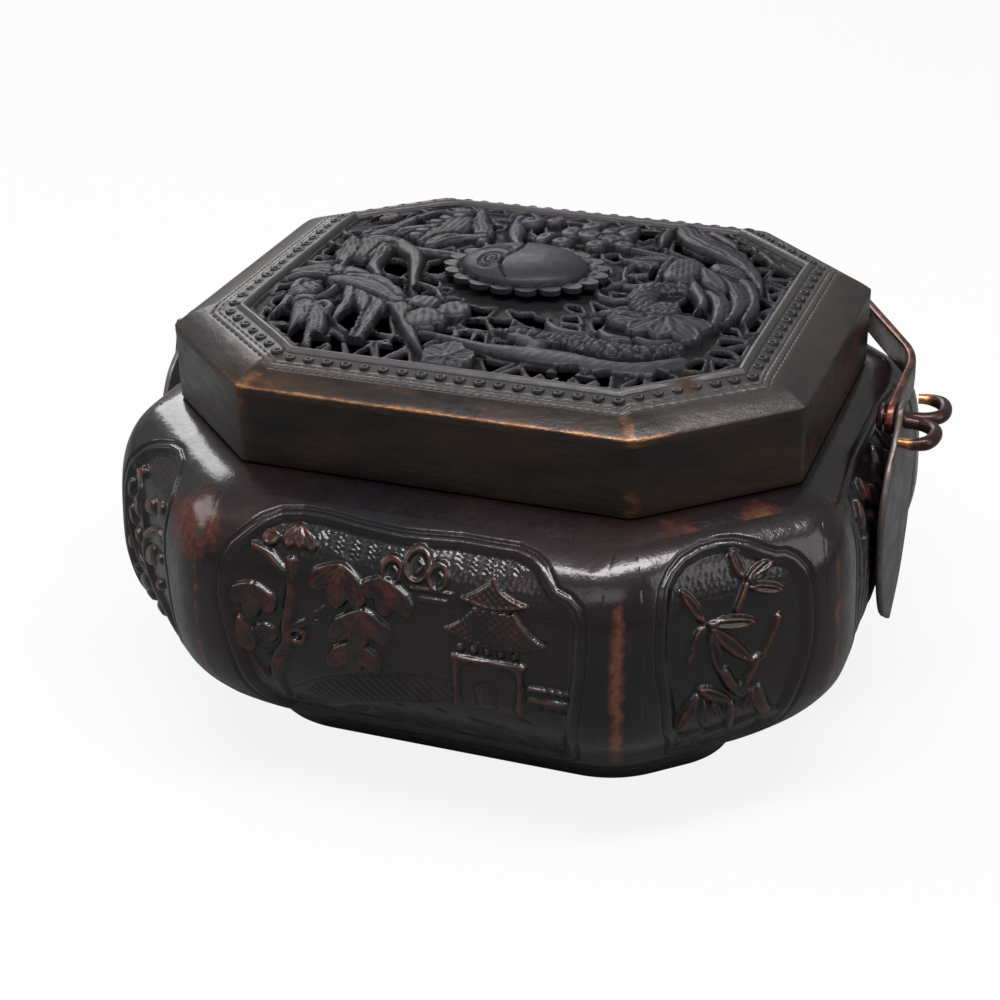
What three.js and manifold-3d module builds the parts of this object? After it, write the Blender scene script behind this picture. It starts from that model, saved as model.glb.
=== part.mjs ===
// Eight-sided incense burner with a pierced lid and a swing handle, in millimetres.
// The origin is at the middle of the base, on the table. +Z is up, +X points along the long
// side to the end whose handle pivot is seen, and -Y faces the side with the pagoda panel.

import * as THREE from 'three';
import { mergeVertices } from 'three/addons/utils/BufferGeometryUtils.js';
import Module from 'manifold-3d';

const wasm = await Module();
wasm.setup();

// Clearances
const SEAT_GAP = 0.3;
const SLIP_GAP = 0.4;
const PIN_GAP = 0.25;

// Lid
const LID_HALF_LENGTH = 58;
const LID_HALF_WIDTH = 48.5;
const LID_CORNER_X = 23.1;
const LID_CORNER_Y = 21.3;
const LID_CORNER_RADIUS = 1.2;
const LID_HEIGHT = 13.9;
const LID_WALL = 1.3;
const PANEL_THICKNESS = 1.6;
const RIM_DEPTH = 1.2;

// Body
const BODY_HEIGHT = 55.8;
const BODY_HALF_LENGTH = 68.5;
const BODY_HALF_WIDTH = 66;
const BULGE_HEIGHT = 31.4;
const BODY_CORNER_X = 30.5;
const BODY_CORNER_Y = 29;
const BODY_CORNER_RADIUS = 7;
const BODY_WALL = 2;
const BASE_HALF_LENGTH = 46;
const BASE_HALF_WIDTH = 42.3;
const BASE_CORNER_X = 15.3;
const BASE_CORNER_Y = 13.8;
const FOOT_WIDTH = 1.5;
const FOOT_DEPTH = 2.6;
const MOST_OF_SIDE = 0.45;
const LEDGE_MARGIN = 0.6;
const LIP_THICKNESS = 3.4;
const BASE_THICKNESS = 1.4;
const SUNK_DEPTH = 1.1;
const SLIVER = 0.03;

// Collar
const COLLAR_WALL = 1.2;
const COLLAR_RISE = 9;
const COLLAR_DROP = 3;

// Handle
const PIVOT_RISE = 1.6;
const STRAP_WIDTH = 5.8;
const STRAP_THICKNESS = 1.8;
const STRAP_BEND_REACH = 5;
const ARM_LENGTH = 22;
const SWING_GAP = 6;
const GRIP_HALF_LENGTH = 47;
const REST_TILT = 1;

// End plates
const PLATE_THICKNESS = 1.2;
const TAB_RISE = 3.2;
const PLATE_LENGTH = 43.6;
const PLATE_HALF_WIDTH = 14;
const TAB_HALF_WIDTH = 3.6;

// Split pins
const PIN_RADIUS = 1.3;
const PIN_HEAD_RADIUS = 2.6;
const PIN_HEAD_THICKNESS = 1.4;
const SCROLL_OUT = 7;
const SCROLL_SPAN = 9.6;
const FOLD_DROP = 10;
const FOLD_SPAN = 3.4;
const LEG_RADIUS = 1.25;

// Boss
const BOSS_HALF_LENGTH = 15.5;
const BOSS_HALF_WIDTH = 12;
const BOSS_RISE = 4.1;
const BOSS_PETALS = 18;
const PETAL_NOTCH = 0.08;
const BOSS_COVER = 2;

// Lattice
const FIELD_INSET = 12;
const BORDER_RISE = 5.1;
const STEP_RUN = 0.4;
const FIELD_STEP = 0.8;
const FIELD_RISE = 6.6;
const FIELD_EDGE_TO_CROWN = 33;
const LATTICE_PITCH = 7;
const LATTICE_ROW = 6;
const STRUT_SHARE = 0.26;

// Levels and places that follow from the sizes above
const LID_RIM = BODY_HEIGHT + SEAT_GAP;
const LID_TOP = LID_RIM + LID_HEIGHT;
const PIVOT_HEIGHT = BODY_HEIGHT + PIVOT_RISE;
const PLATE_TOP = PIVOT_HEIGHT + TAB_RISE;
const COLLAR_INSET = LID_WALL + SLIP_GAP;
const PLATE_INSIDE = BODY_HALF_LENGTH + SEAT_GAP;
const PLATE_OUTSIDE = PLATE_INSIDE + PLATE_THICKNESS;
const LID_SWEEP = Math.hypot(LID_HALF_WIDTH, LID_TOP - PIVOT_HEIGHT);
const GRIP_REACH = LID_SWEEP + SWING_GAP + STRAP_THICKNESS / 2;
const STRAP_X = PLATE_INSIDE - SEAT_GAP - STRAP_THICKNESS / 2;

// Solids
function clean(geometry) {
  const bare = geometry.index ? geometry.toNonIndexed() : geometry.clone();
  bare.deleteAttribute('normal');
  bare.deleteAttribute('uv');
  const merged = mergeVertices(bare, 1e-4);
  const index = merged.index.array;
  const kept = [];
  for (let i = 0; i < index.length; i += 3) {
    const [a, b, c] = [index[i], index[i + 1], index[i + 2]];
    if (a !== b && b !== c && c !== a) kept.push(a, b, c);
  }
  merged.setIndex(kept);
  return merged;
}

function signedVolume(geometry) {
  const { index, attributes: { position } } = geometry;
  const corner = [0, 1, 2].map(() => new THREE.Vector3());
  let volume = 0;
  for (let i = 0; i < index.count; i += 3) {
    corner.forEach((point, k) => point.fromBufferAttribute(position, index.getX(i + k)));
    volume += corner[0].dot(corner[1].clone().cross(corner[2])) / 6;
  }
  return volume;
}

function solid(geometry) {
  const merged = clean(geometry);
  if (signedVolume(merged) < 0) merged.index.array.reverse();
  return new wasm.Manifold(new wasm.Mesh({
    numProp: 3,
    vertProperties: new Float32Array(merged.attributes.position.array),
    triVerts: new Uint32Array(merged.index.array),
  }));
}

function geometryOf(manifold) {
  const mesh = manifold.getMesh();
  const geometry = new THREE.BufferGeometry();
  geometry.setAttribute('position', new THREE.BufferAttribute(mesh.vertProperties, 3));
  geometry.setIndex(new THREE.BufferAttribute(mesh.triVerts, 1));
  return geometry;
}

// Plans
function octagonCorners(halfLength, halfWidth, cornerX, cornerY) {
  return [
    [halfLength, -(halfWidth - cornerY)],
    [halfLength, halfWidth - cornerY],
    [halfLength - cornerX, halfWidth],
    [-(halfLength - cornerX), halfWidth],
    [-halfLength, halfWidth - cornerY],
    [-halfLength, -(halfWidth - cornerY)],
    [-(halfLength - cornerX), -halfWidth],
    [halfLength - cornerX, -halfWidth],
  ].map(([x, y]) => new THREE.Vector2(x, y));
}

// Each corner of the outline is rounded by a short curve that ends a given distance from it,
// or nearer where a side is too short for two such curves.
function roundedOutline(corners, reach, steps) {
  const points = [];
  corners.forEach((corner, i) => {
    const before = corners[(i + corners.length - 1) % corners.length];
    const after = corners[(i + 1) % corners.length];
    const toBefore = before.clone().sub(corner);
    const toAfter = after.clone().sub(corner);
    const start = corner.clone().add(toBefore.setLength(Math.min(reach, toBefore.length() * MOST_OF_SIDE)));
    const end = corner.clone().add(toAfter.setLength(Math.min(reach, toAfter.length() * MOST_OF_SIDE)));
    const curve = new THREE.QuadraticBezierCurve(start, corner, end);
    points.push(...curve.getPoints(steps));
  });
  return points;
}

// The lid's outline with every side moved inward by the same distance.
function lidOutline(inset, steps = 1) {
  const slant = Math.hypot(LID_CORNER_X, LID_CORNER_Y);
  const [acrossX, acrossY] = [LID_CORNER_Y / slant, LID_CORNER_X / slant];
  const corners = octagonCorners(
    LID_HALF_LENGTH - inset, LID_HALF_WIDTH - inset,
    LID_CORNER_X - inset * (1 - (1 - acrossY) / acrossX),
    LID_CORNER_Y - inset * (1 - (1 - acrossX) / acrossY));
  const reach = LID_CORNER_RADIUS * Math.max(0.1, 1 - inset / LID_HALF_WIDTH);
  return roundedOutline(corners, reach, steps);
}

// Shares of the way out and up: from the foot to the bulge, and from the bulge in to the neck.
const LOWER_CURVE = [
  [0, 0], [0.09, 0.1], [0.24, 0.2], [0.42, 0.3], [0.58, 0.4],
  [0.725, 0.5], [0.84, 0.6], [0.925, 0.7], [0.975, 0.82], [1, 1],
];
const UPPER_CURVE = [
  [0, 0], [0.01, 0.2], [0.04, 0.42], [0.1, 0.6], [0.2, 0.74], [0.36, 0.86], [0.58, 0.945], [0.8, 0.985], [1, 1],
];

function curveBetween(shares, from, to) {
  return shares.map(([out, up]) => [from[0] + (to[0] - from[0]) * out, from[1] + (to[1] - from[1]) * up]);
}

function shareAt(shares, up) {
  const above = Math.max(1, shares.findIndex((point) => point[1] >= Math.min(up, 1)));
  const [low, high] = [shares[above - 1], shares[above]];
  return THREE.MathUtils.mapLinear(up, low[1], high[1], low[0], high[0]);
}

// How far the plan has grown to the bulge's: 0 at the foot and at the neck, and 1 at the bulge.
function growthAt(height) {
  if (height <= BULGE_HEIGHT) return shareAt(LOWER_CURVE, Math.max(0, height) / BULGE_HEIGHT);
  return 1 - shareAt(UPPER_CURVE, (height - BULGE_HEIGHT) / (BODY_HEIGHT - BULGE_HEIGHT));
}

// A size that is one value at the foot, another at the bulge and a third at the neck.
function sizeAt(height, atFoot, atBulge, atNeck) {
  return THREE.MathUtils.lerp(height <= BULGE_HEIGHT ? atFoot : atNeck, atBulge, growthAt(height));
}

function reachAt(height) {
  return sizeAt(height, BASE_HALF_LENGTH, BODY_HALF_LENGTH, LID_HALF_LENGTH + LEDGE_MARGIN);
}

// Corner faces are narrow at the foot, widest over the bulge, and suit the lid at the neck.
function bodyCorners(halfLength, height) {
  const excess = sizeAt(height, BASE_HALF_LENGTH - BASE_HALF_WIDTH,
    BODY_HALF_LENGTH - BODY_HALF_WIDTH, LID_HALF_LENGTH - LID_HALF_WIDTH);
  return octagonCorners(halfLength, halfLength - excess,
    sizeAt(height, BASE_CORNER_X, BODY_CORNER_X, LID_CORNER_X),
    sizeAt(height, BASE_CORNER_Y, BODY_CORNER_Y, LID_CORNER_Y));
}

function bodyOutline(halfLength, height, steps = 3) {
  const reach = sizeAt(height, BODY_CORNER_RADIUS, BODY_CORNER_RADIUS, LID_CORNER_RADIUS);
  return roundedOutline(bodyCorners(halfLength, height), reach, steps);
}

function prism(outline, bottom, top, holes = []) {
  const shape = new THREE.Shape(outline);
  holes.forEach((hole) => shape.holes.push(new THREE.Path(hole)));
  const geometry = new THREE.ExtrudeGeometry(shape, { depth: top - bottom, bevelEnabled: false });
  return geometry.translate(0, 0, bottom);
}

// A lathed profile whose circles are redrawn as outlines of the object, one for each profile point.
function outlineSolid(profile, outlineAt) {
  const points = profile.map(([, height], j) => new THREE.Vector2(j + 1, height));
  const around = outlineAt(profile[1]).length;
  const lathe = new THREE.LatheGeometry(points, around);
  const position = lathe.attributes.position;
  profile.forEach((entry, j) => {
    const outline = outlineAt(entry);
    for (let i = 0; i <= around; i += 1) {
      const spot = outline ? outline[i % around] : new THREE.Vector2(0, 0);
      position.setXYZ(i * profile.length + j, spot.x, spot.y, entry[1]);
    }
  });
  return solid(lathe);
}

// A point of the profile may name another height, whose plan it takes.
function bulgedSolid(profile) {
  return outlineSolid(profile, ([reach, height, planHeight = height]) => (
    reach > 0 ? bodyOutline(reach, planHeight) : null));
}

function bulgeProfile() {
  const foot = [BASE_HALF_LENGTH, 0];
  const bulge = [BODY_HALF_LENGTH, BULGE_HEIGHT];
  const neck = [LID_HALF_LENGTH + LEDGE_MARGIN, BODY_HEIGHT];
  return [...curveBetween(LOWER_CURVE, foot, bulge), ...curveBetween(UPPER_CURVE.slice(1), bulge, neck)];
}

// Sunk panels with raised pictures. Points are shares of the side's half length, from its middle,
// and of the body's height. Widths are shares of the side's half length.
const leaf = (from, to, width) => ({ kind: 'leaf', points: [from, to], width });
const leaves = (from, width, ...tips) => tips.map((tip) => leaf(from, tip, width));
const stroke = (width, ...points) => ({ kind: 'stroke', points, width });
const area = (...points) => ({ kind: 'area', points });
const bud = (centre, width) => ({ kind: 'bud', points: [centre], width });

const PAGODA_PANEL = {
  frame: [
    [-0.59, 0.943], [-0.71, 0.906], [-0.785, 0.846], [-0.81, 0.76], [-0.81, 0.69], [-0.774, 0.545],
    [-0.68, 0.25], [-0.63, 0.222], [0.63, 0.222], [0.7, 0.263], [0.753, 0.42], [0.784, 0.58],
    [0.792, 0.74], [0.753, 0.837],
    [0.658, 0.87], [0.592, 0.926], [0.474, 0.943], [0, 0.935], [-0.316, 0.948],
  ],
  raised: [
    stroke(0.07, [-0.61, 0.315], [-0.6, 0.456], [-0.54, 0.581], [-0.51, 0.724], [-0.51, 0.846]),
    stroke(0.05, [-0.5, 0.63], [-0.39, 0.675]),
    ...leaves([-0.5, 0.94], 0.1, [-0.41, 0.87], [-0.55, 0.87]),
    ...leaves([-0.27, 0.862], 0.12, [-0.41, 0.778], [-0.29, 0.724], [-0.17, 0.742]),
    ...leaves([-0.07, 0.846], 0.11, [-0.16, 0.781], [-0.06, 0.724], [0.06, 0.738]),
    ...leaves([-0.16, 0.738], 0.12, [-0.32, 0.615], [-0.2, 0.595], [-0.045, 0.63]),
    ...leaves([-0.2, 0.628], 0.1, [-0.33, 0.526], [-0.22, 0.511], [-0.09, 0.53]),
    ...leaves([-0.69, 0.763], 0.11, [-0.78, 0.69], [-0.71, 0.64], [-0.59, 0.676]),
    area([-0.1, 0.83], [-0.1, 0.88], [-0.02, 0.905], [0.05, 0.915], [0.13, 0.91], [0.2, 0.885], [0.22, 0.835]),
    area([0.416, 0.892], [0.379, 0.852], [0.29, 0.824], [0.424, 0.803], [0.571, 0.824], [0.453, 0.852]),
    area([0.345, 0.797], [0.3, 0.758], [0.221, 0.722], [0.453, 0.682], [0.663, 0.711], [0.58, 0.745],
      [0.518, 0.79]),
    area([0.255, 0.475], [0.574, 0.475], [0.58, 0.67], [0.255, 0.67]),
    stroke(0.03, [0.6, 0.564], [0.76, 0.564]),
    stroke(0.03, [0.6, 0.527], [0.76, 0.527]),
    stroke(0.035, [-0.4, 0.297], [-0.29, 0.35], [-0.058, 0.415], [0.26, 0.462], [0.58, 0.464]),
  ],
};

const BAMBOO_PANEL = {
  frame: [
    [-0.55, 0.85], [-0.52, 0.89], [-0.4, 0.922], [-0.24, 0.939], [0, 0.939], [0.19, 0.919], [0.36, 0.882],
    [0.52, 0.861], [0.6, 0.798], [0.62, 0.691], [0.59, 0.566], [0.53, 0.442], [0.475, 0.33], [0.356, 0.262],
    [0, 0.242], [-0.285, 0.262], [-0.38, 0.345], [-0.485, 0.459], [-0.54, 0.602], [-0.556, 0.745],
  ],
  raised: [
    stroke(0.07, [0.41, 0.724], [0.27, 0.605], [0.11, 0.52]),
    stroke(0.11, [-0.06, 0.58], [0.11, 0.493]),
    stroke(0.12, [0.25, 0.485], [0.37, 0.382]),
    ...leaves([-0.24, 0.76], 0.12, [-0.44, 0.877], [-0.36, 0.685], [0.22, 0.727], [0.19, 0.595],
      [-0.09, 0.573]),
    ...leaves([0.12, 0.845], 0.12, [0.02, 0.93], [0.4, 0.9], [0.46, 0.806]),
    ...leaves([-0.27, 0.54], 0.11, [0.01, 0.475], [-0.44, 0.4], [-0.2, 0.385]),
    area([-0.3, 0.29], [-0.3, 0.35], [-0.05, 0.335], [0.28, 0.36], [0.42, 0.37], [0.43, 0.33], [0.3, 0.28],
      [0, 0.26]),
  ],
};

const PLUM_PANEL = {
  frame: [
    [-0.656, 0.772], [-0.6, 0.84], [-0.418, 0.908], [-0.266, 0.938], [-0.095, 0.955], [0.024, 0.959],
    [0.143, 0.952], [0.238, 0.926], [0.276, 0.882], [0.266, 0.781], [0.285, 0.691], [0.38, 0.584],
    [0.45, 0.468], [0.356, 0.408], [0, 0.342], [-0.285, 0.313], [-0.57, 0.306], [-0.656, 0.345],
    [-0.684, 0.459], [-0.7, 0.62],
  ],
  raised: [
    stroke(0.11, [0.3, 0.42], [0.095, 0.459], [-0.14, 0.513], [-0.285, 0.602], [-0.24, 0.691], [-0.38, 0.798]),
    stroke(0.06, [-0.24, 0.674], [-0.05, 0.727], [0.2, 0.736]),
    stroke(0.07, [-0.19, 0.53], [-0.43, 0.541], [-0.6, 0.602]),
    bud([-0.42, 0.75], 0.17), bud([-0.1, 0.8], 0.22), bud([-0.42, 0.86], 0.14), bud([-0.1, 0.62], 0.24),
    bud([-0.57, 0.69], 0.15), bud([-0.45, 0.65], 0.13), bud([-0.47, 0.45], 0.24), bud([-0.14, 0.41], 0.2),
    bud([0.08, 0.56], 0.13), bud([0.13, 0.84], 0.15), bud([-0.57, 0.375], 0.15),
  ],
};

const ROCK_PANEL = {
  frame: [
    [-0.59, 0.925], [-0.643, 0.871], [-0.68, 0.703], [-0.668, 0.495], [-0.595, 0.325], [-0.514, 0.282],
    [0.514, 0.282], [0.595, 0.325], [0.668, 0.495], [0.68, 0.703], [0.643, 0.871], [0.59, 0.925], [0.27, 0.942],
    [-0.27, 0.942],
  ],
  raised: [-0.52, -0.34, -0.16, 0.02, 0.2, 0.38, 0.56].flatMap((out) => [
    stroke(0.1, [out, 0.34], [out - 0.04, 0.52], [out + 0.02, 0.74]),
    bud([out - 0.02, 0.85], 0.1),
  ]),
};

// One for each side, from the right end and on round anticlockwise.
const SUNK_PANELS = [
  ROCK_PANEL, PLUM_PANEL, PAGODA_PANEL, BAMBOO_PANEL, ROCK_PANEL, PLUM_PANEL, PAGODA_PANEL, BAMBOO_PANEL,
];

function sideAt(side, height) {
  const corners = bodyCorners(reachAt(height), height);
  const [start, end] = [corners[side], corners[(side + 1) % corners.length]];
  return { middle: start.clone().add(end).divideScalar(2), along: end.clone().sub(start) };
}

// Outline of a motif in a side's own flat coordinates, in millimetres.
function motifOutline({ kind, points, width = 0 }, half) {
  const line = points.map(([out, up]) => new THREE.Vector2(out * half, up * BODY_HEIGHT));
  const reach = (width * half) / 2;
  if (kind === 'stroke') return [...offsetLine(line, -reach), ...offsetLine(line, reach).reverse()];
  if (kind === 'bud') {
    return new THREE.Shape().absarc(line[0].x, line[0].y, reach, 0, Math.PI * 2).getPoints(3).slice(0, -1);
  }
  if (kind === 'leaf') {
    const [from, to] = line;
    const across = to.clone().sub(from).rotateAround(new THREE.Vector2(), Math.PI / 2).setLength(reach);
    const [root, widest, near] = [-0.15, 0.62, 0.92].map((share) => from.clone().lerp(to, share));
    return [root, widest.clone().sub(across), near.clone().addScaledVector(across, -0.5),
      near.clone().addScaledVector(across, 0.5), widest.clone().add(across)];
  }
  return line;
}

// A motif's outline made solid, square through the wall of a side.
function throughWall(side, motif) {
  const { along } = sideAt(side, BULGE_HEIGHT);
  const half = along.length() / 2;
  along.normalize();
  const outline = motifOutline(motif, half)
    .map(({ x, y }) => new THREE.Vector2(x + sideAt(side, y).middle.dot(along), y));
  const facing = new THREE.Matrix4().makeBasis(
    new THREE.Vector3(along.x, along.y, 0), new THREE.Vector3(0, 0, 1),
    new THREE.Vector3(along.y, -along.x, 0));
  const block = prism(outline, BASE_HALF_WIDTH / 2, BASE_HALF_WIDTH / 2 + BODY_HALF_LENGTH);
  return solid(block.applyMatrix4(facing));
}

function panelCut(side, { frame, raised }) {
  const sunk = throughWall(side, area(...frame));
  return raised.reduce((cut, motif) => cut.subtract(throughWall(side, motif)), sunk);
}

function makeBody() {
  const bulge = bulgeProfile();
  const outer = bulgedSolid([[0, 0], ...bulge, [0, BODY_HEIGHT]]);
  const foot = BASE_HALF_LENGTH - FOOT_WIDTH;
  const ceiling = BODY_HEIGHT - LIP_THICKNESS;
  const inner = bulge.map(([reach, height]) => [reach - BODY_WALL, height])
    .filter(([reach, height]) => reach > foot && height > FOOT_DEPTH && height < ceiling);
  const rim = reachAt(ceiling) - BODY_WALL;
  const cavity = bulgedSolid([
    [0, -1], [foot, -1], [foot, FOOT_DEPTH, 0], ...inner, [rim, ceiling], [0, ceiling],
  ]);
  const mouth = solid(prism(lidOutline(COLLAR_INSET - SEAT_GAP), ceiling - 1, BODY_HEIGHT + 1));
  const floors = bulgedSolid([
    [0, 0], ...bulge.map(([reach, height]) => [reach - SUNK_DEPTH, height]), [0, BODY_HEIGHT],
  ]);
  const shell = outer.subtract(cavity).subtract(mouth);
  const cuts = SUNK_PANELS.map((panel, side) => panelCut(side, panel).subtract(floors));
  return cuts.reduce((body, cut) => body.subtract(cut), shell).asOriginal().simplify(SLIVER);
}

function makeBase() {
  const outline = bodyOutline(BASE_HALF_LENGTH - FOOT_WIDTH - SEAT_GAP, 0);
  return solid(prism(outline, 0, BASE_THICKNESS));
}

function makeCollar() {
  return solid(prism(lidOutline(COLLAR_INSET), BODY_HEIGHT - COLLAR_DROP, BODY_HEIGHT + COLLAR_RISE,
    [lidOutline(COLLAR_INSET + COLLAR_WALL)]));
}

// Lid
function makeLidWall() {
  return solid(prism(lidOutline(0), LID_RIM, LID_TOP - RIM_DEPTH - SEAT_GAP,
    [lidOutline(LID_WALL)]));
}

// Rows of upright and hanging triangles fill the field, each set in from its struts.
function latticeHoles() {
  const rows = Math.floor((2 * (LID_HALF_WIDTH - FIELD_INSET)) / LATTICE_ROW);
  const columns = Math.ceil((2 * LID_HALF_LENGTH) / LATTICE_PITCH);
  const holes = [];
  for (let row = 0; row < rows; row += 1) {
    const y = (row - rows / 2) * LATTICE_ROW;
    for (let column = -columns; column <= columns; column += 1) {
      const up = (row + column) % 2 === 0;
      const x = (column * LATTICE_PITCH) / 2;
      const [base, apex] = up ? [y, y + LATTICE_ROW] : [y + LATTICE_ROW, y];
      const middle = new THREE.Vector2(x, (base * 2 + apex) / 3);
      const hole = [[x - LATTICE_PITCH / 2, base], [x + LATTICE_PITCH / 2, base], [x, apex]]
        .map(([px, py]) => new THREE.Vector2(px, py))
        .map((point) => point.lerp(middle, STRUT_SHARE));
      if (hole.every(insideField)) holes.push(hole);
    }
  }
  return holes;
}

function insideField(point) {
  const [x, y] = [Math.abs(point.x), Math.abs(point.y)];
  const halfLength = LID_HALF_LENGTH - FIELD_INSET - 1;
  const halfWidth = LID_HALF_WIDTH - FIELD_INSET - 1;
  const overCorner = (x - halfLength) / LID_CORNER_X + (y - halfWidth) / LID_CORNER_Y;
  const boss = (x / (BOSS_HALF_LENGTH - BOSS_COVER)) ** 2 + (y / (BOSS_HALF_WIDTH - BOSS_COVER)) ** 2;
  return x < halfLength && y < halfWidth && overCorner < -0.55 && boss > 1;
}

// Shares of the way in and up: over the border, and on from the border's inner step to the middle.
const BORDER_CURVE = [[0, 0], [0.1, 0.2], [0.25, 0.45], [0.46, 0.67], [0.75, 0.86], [1, 1]];
const FIELD_CURVE = [[0, 0], [0.18, 0.3], [0.56, 0.7], [1, 1]];

function makeLidPanel() {
  const border = curveBetween(BORDER_CURVE, [0, 0], [FIELD_INSET, BORDER_RISE]);
  const field = curveBetween(FIELD_CURVE,
    [FIELD_INSET + STEP_RUN, BORDER_RISE - FIELD_STEP], [FIELD_EDGE_TO_CROWN, FIELD_RISE]);
  const under = [...border.slice(2, -1), ...field]
    .map(([inset, rise]) => [inset + PANEL_THICKNESS * 0.4, rise - PANEL_THICKNESS]);
  const profile = [
    [null, FIELD_RISE], ...field.slice().reverse(), ...border.slice().reverse(),
    [0, -RIM_DEPTH], [LID_WALL + SEAT_GAP, -RIM_DEPTH], ...under, [null, FIELD_RISE - PANEL_THICKNESS],
  ].map(([inset, rise]) => [inset, LID_TOP + rise]);
  let panel = outlineSolid(profile, ([inset]) => (inset === null ? null : lidOutline(inset)));
  latticeHoles().forEach((hole) => {
    panel = panel.subtract(solid(prism(hole, LID_TOP, LID_TOP + FIELD_RISE + 1)));
  });
  return panel;
}

// Shares of the boss's reach and of its height, from the underside to the dome's top.
const BOSS_PROFILE = [
  [0, 0], [0.97, 0], [1, 0.2], [0.86, 0.37], [0.76, 0.27], [0.74, 0.4], [0.66, 0.66], [0.42, 0.93], [0, 1],
];

function makeBoss() {
  const around = BOSS_PETALS * 4;
  const points = BOSS_PROFILE.map(([share, height]) => new THREE.Vector2(share, height));
  const lathe = new THREE.LatheGeometry(points, around);
  const position = lathe.attributes.position;
  const seat = LID_TOP + FIELD_RISE + SEAT_GAP;
  for (let i = 0; i <= around; i += 1) {
    const angle = (i / around) * Math.PI * 2;
    points.forEach(({ x: share, y: height }, j) => {
      const scallop = share > 0.8 ? 1 - PETAL_NOTCH * (1 - Math.abs(Math.cos((angle * BOSS_PETALS) / 2))) : 1;
      const reach = share * scallop;
      position.setXYZ(i * points.length + j, BOSS_HALF_LENGTH * reach * Math.cos(angle),
        BOSS_HALF_WIDTH * reach * Math.sin(angle), seat + BOSS_RISE * height);
    });
  }
  return solid(lathe);
}

// Handle
function bailLine() {
  const half = [
    [STRAP_X, 0], [STRAP_X, ARM_LENGTH], [GRIP_HALF_LENGTH, GRIP_REACH],
  ].map(([x, y]) => new THREE.Vector2(x, y));
  return [...half, ...half.slice().reverse().map((point) => new THREE.Vector2(-point.x, point.y))];
}

function bendCorners(line) {
  const points = [line[0]];
  for (let i = 1; i < line.length - 1; i += 1) {
    const corner = line[i];
    const start = corner.clone().add(line[i - 1].clone().sub(corner).setLength(STRAP_BEND_REACH));
    const end = corner.clone().add(line[i + 1].clone().sub(corner).setLength(STRAP_BEND_REACH));
    points.push(...new THREE.QuadraticBezierCurve(start, corner, end).getPoints(5));
  }
  return [...points, line[line.length - 1]];
}

function offsetLine(line, distance) {
  return line.map((point, i) => {
    const before = line[Math.max(i - 1, 0)];
    const after = line[Math.min(i + 1, line.length - 1)];
    const along = after.clone().sub(before).normalize();
    return new THREE.Vector2(point.x - along.y * distance, point.y + along.x * distance);
  });
}

function rodAlongX(radius, from, to, height, sides = 20) {
  const rod = new THREE.CylinderGeometry(radius, radius, to - from, sides);
  return solid(rod.rotateZ(Math.PI / 2).translate((from + to) / 2, 0, height));
}

function makeBail() {
  const line = bendCorners(bailLine());
  const inner = offsetLine(line, STRAP_THICKNESS / 2);
  const outer = offsetLine(line, -STRAP_THICKNESS / 2);
  let bail = solid(prism([...inner, ...outer.reverse()], -STRAP_WIDTH / 2, STRAP_WIDTH / 2));
  for (const side of [1, -1]) {
    const [from, to] = [STRAP_X - STRAP_THICKNESS / 2, STRAP_X + STRAP_THICKNESS / 2];
    const ends = side > 0 ? [from, to] : [-to, -from];
    bail = bail.add(rodAlongX(STRAP_WIDTH / 2, ...ends, 0));
    const bore = side > 0 ? [from - 1, to + 1] : [-to - 1, -from + 1];
    bail = bail.subtract(rodAlongX(PIN_RADIUS + PIN_GAP, ...bore, 0));
  }
  return bail;
}

// End plates and split pins, drawn at the right end and mirrored where they belong to the left
const UPRIGHT = new THREE.Matrix4().makeBasis(
  new THREE.Vector3(0, 1, 0), new THREE.Vector3(0, 0, 1), new THREE.Vector3(1, 0, 0));

// Shares of the leaf's half-width and of its length, down from the tab's end to the point.
const LEAF_TAB = [[0.7, 0.01], [1, 0.045], [1.4, 0.09]];
const LEAF_BLADE = [[0.8, 0.205], [1, 0.32], [1, 0.53], [0.84, 0.71], [0.5, 0.885]];

function leafOutline() {
  const half = [
    [0, PLATE_TOP],
    ...LEAF_TAB.map(([out, down]) => [TAB_HALF_WIDTH * out, PLATE_TOP - PLATE_LENGTH * down]),
    ...LEAF_BLADE.map(([out, down]) => [PLATE_HALF_WIDTH * out, PLATE_TOP - PLATE_LENGTH * down]),
    [0, PLATE_TOP - PLATE_LENGTH],
  ].map(([y, z]) => new THREE.Vector2(y, z));
  const other = half.slice(1, -1).reverse().map((point) => new THREE.Vector2(-point.x, point.y));
  return [...half, ...other];
}

function makePlate() {
  const leaf = new THREE.ExtrudeGeometry(new THREE.Shape(leafOutline()),
    { depth: PLATE_THICKNESS, bevelEnabled: false });
  leaf.applyMatrix4(UPRIGHT).translate(PLATE_INSIDE, 0, 0);
  const bore = rodAlongX(PIN_RADIUS + PIN_GAP, PLATE_INSIDE - 1, PLATE_OUTSIDE + 1, PIVOT_HEIGHT);
  return solid(leaf).subtract(bore);
}

// Shares of the scroll's reach out from the plate and of its span along it.
const SCROLL_CURVE = [[0, 0.08], [0.45, 0.12], [0.77, 0.32], [0.82, 0.6], [0.66, 0.9], [0.32, 1], [0.06, 0.98]];

// Shares of a folded leg's span along the plate and of its drop.
const FOLD_CURVE = [[0.05, -0.05], [0.22, 0.25], [0.6, 0.62], [1, 1]];

const LEG_START = PLATE_OUTSIDE + SEAT_GAP;
const LEG_FLAT = LEG_START + LEG_RADIUS;

function wire(points) {
  const round = new THREE.Shape().absarc(0, 0, LEG_RADIUS, 0, Math.PI * 2);
  return solid(new THREE.ExtrudeGeometry(new THREE.Shape(round.getPoints(5).slice(0, -1)),
    { steps: 18, bevelEnabled: false, extrudePath: new THREE.CatmullRomCurve3(points) }));
}

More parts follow.
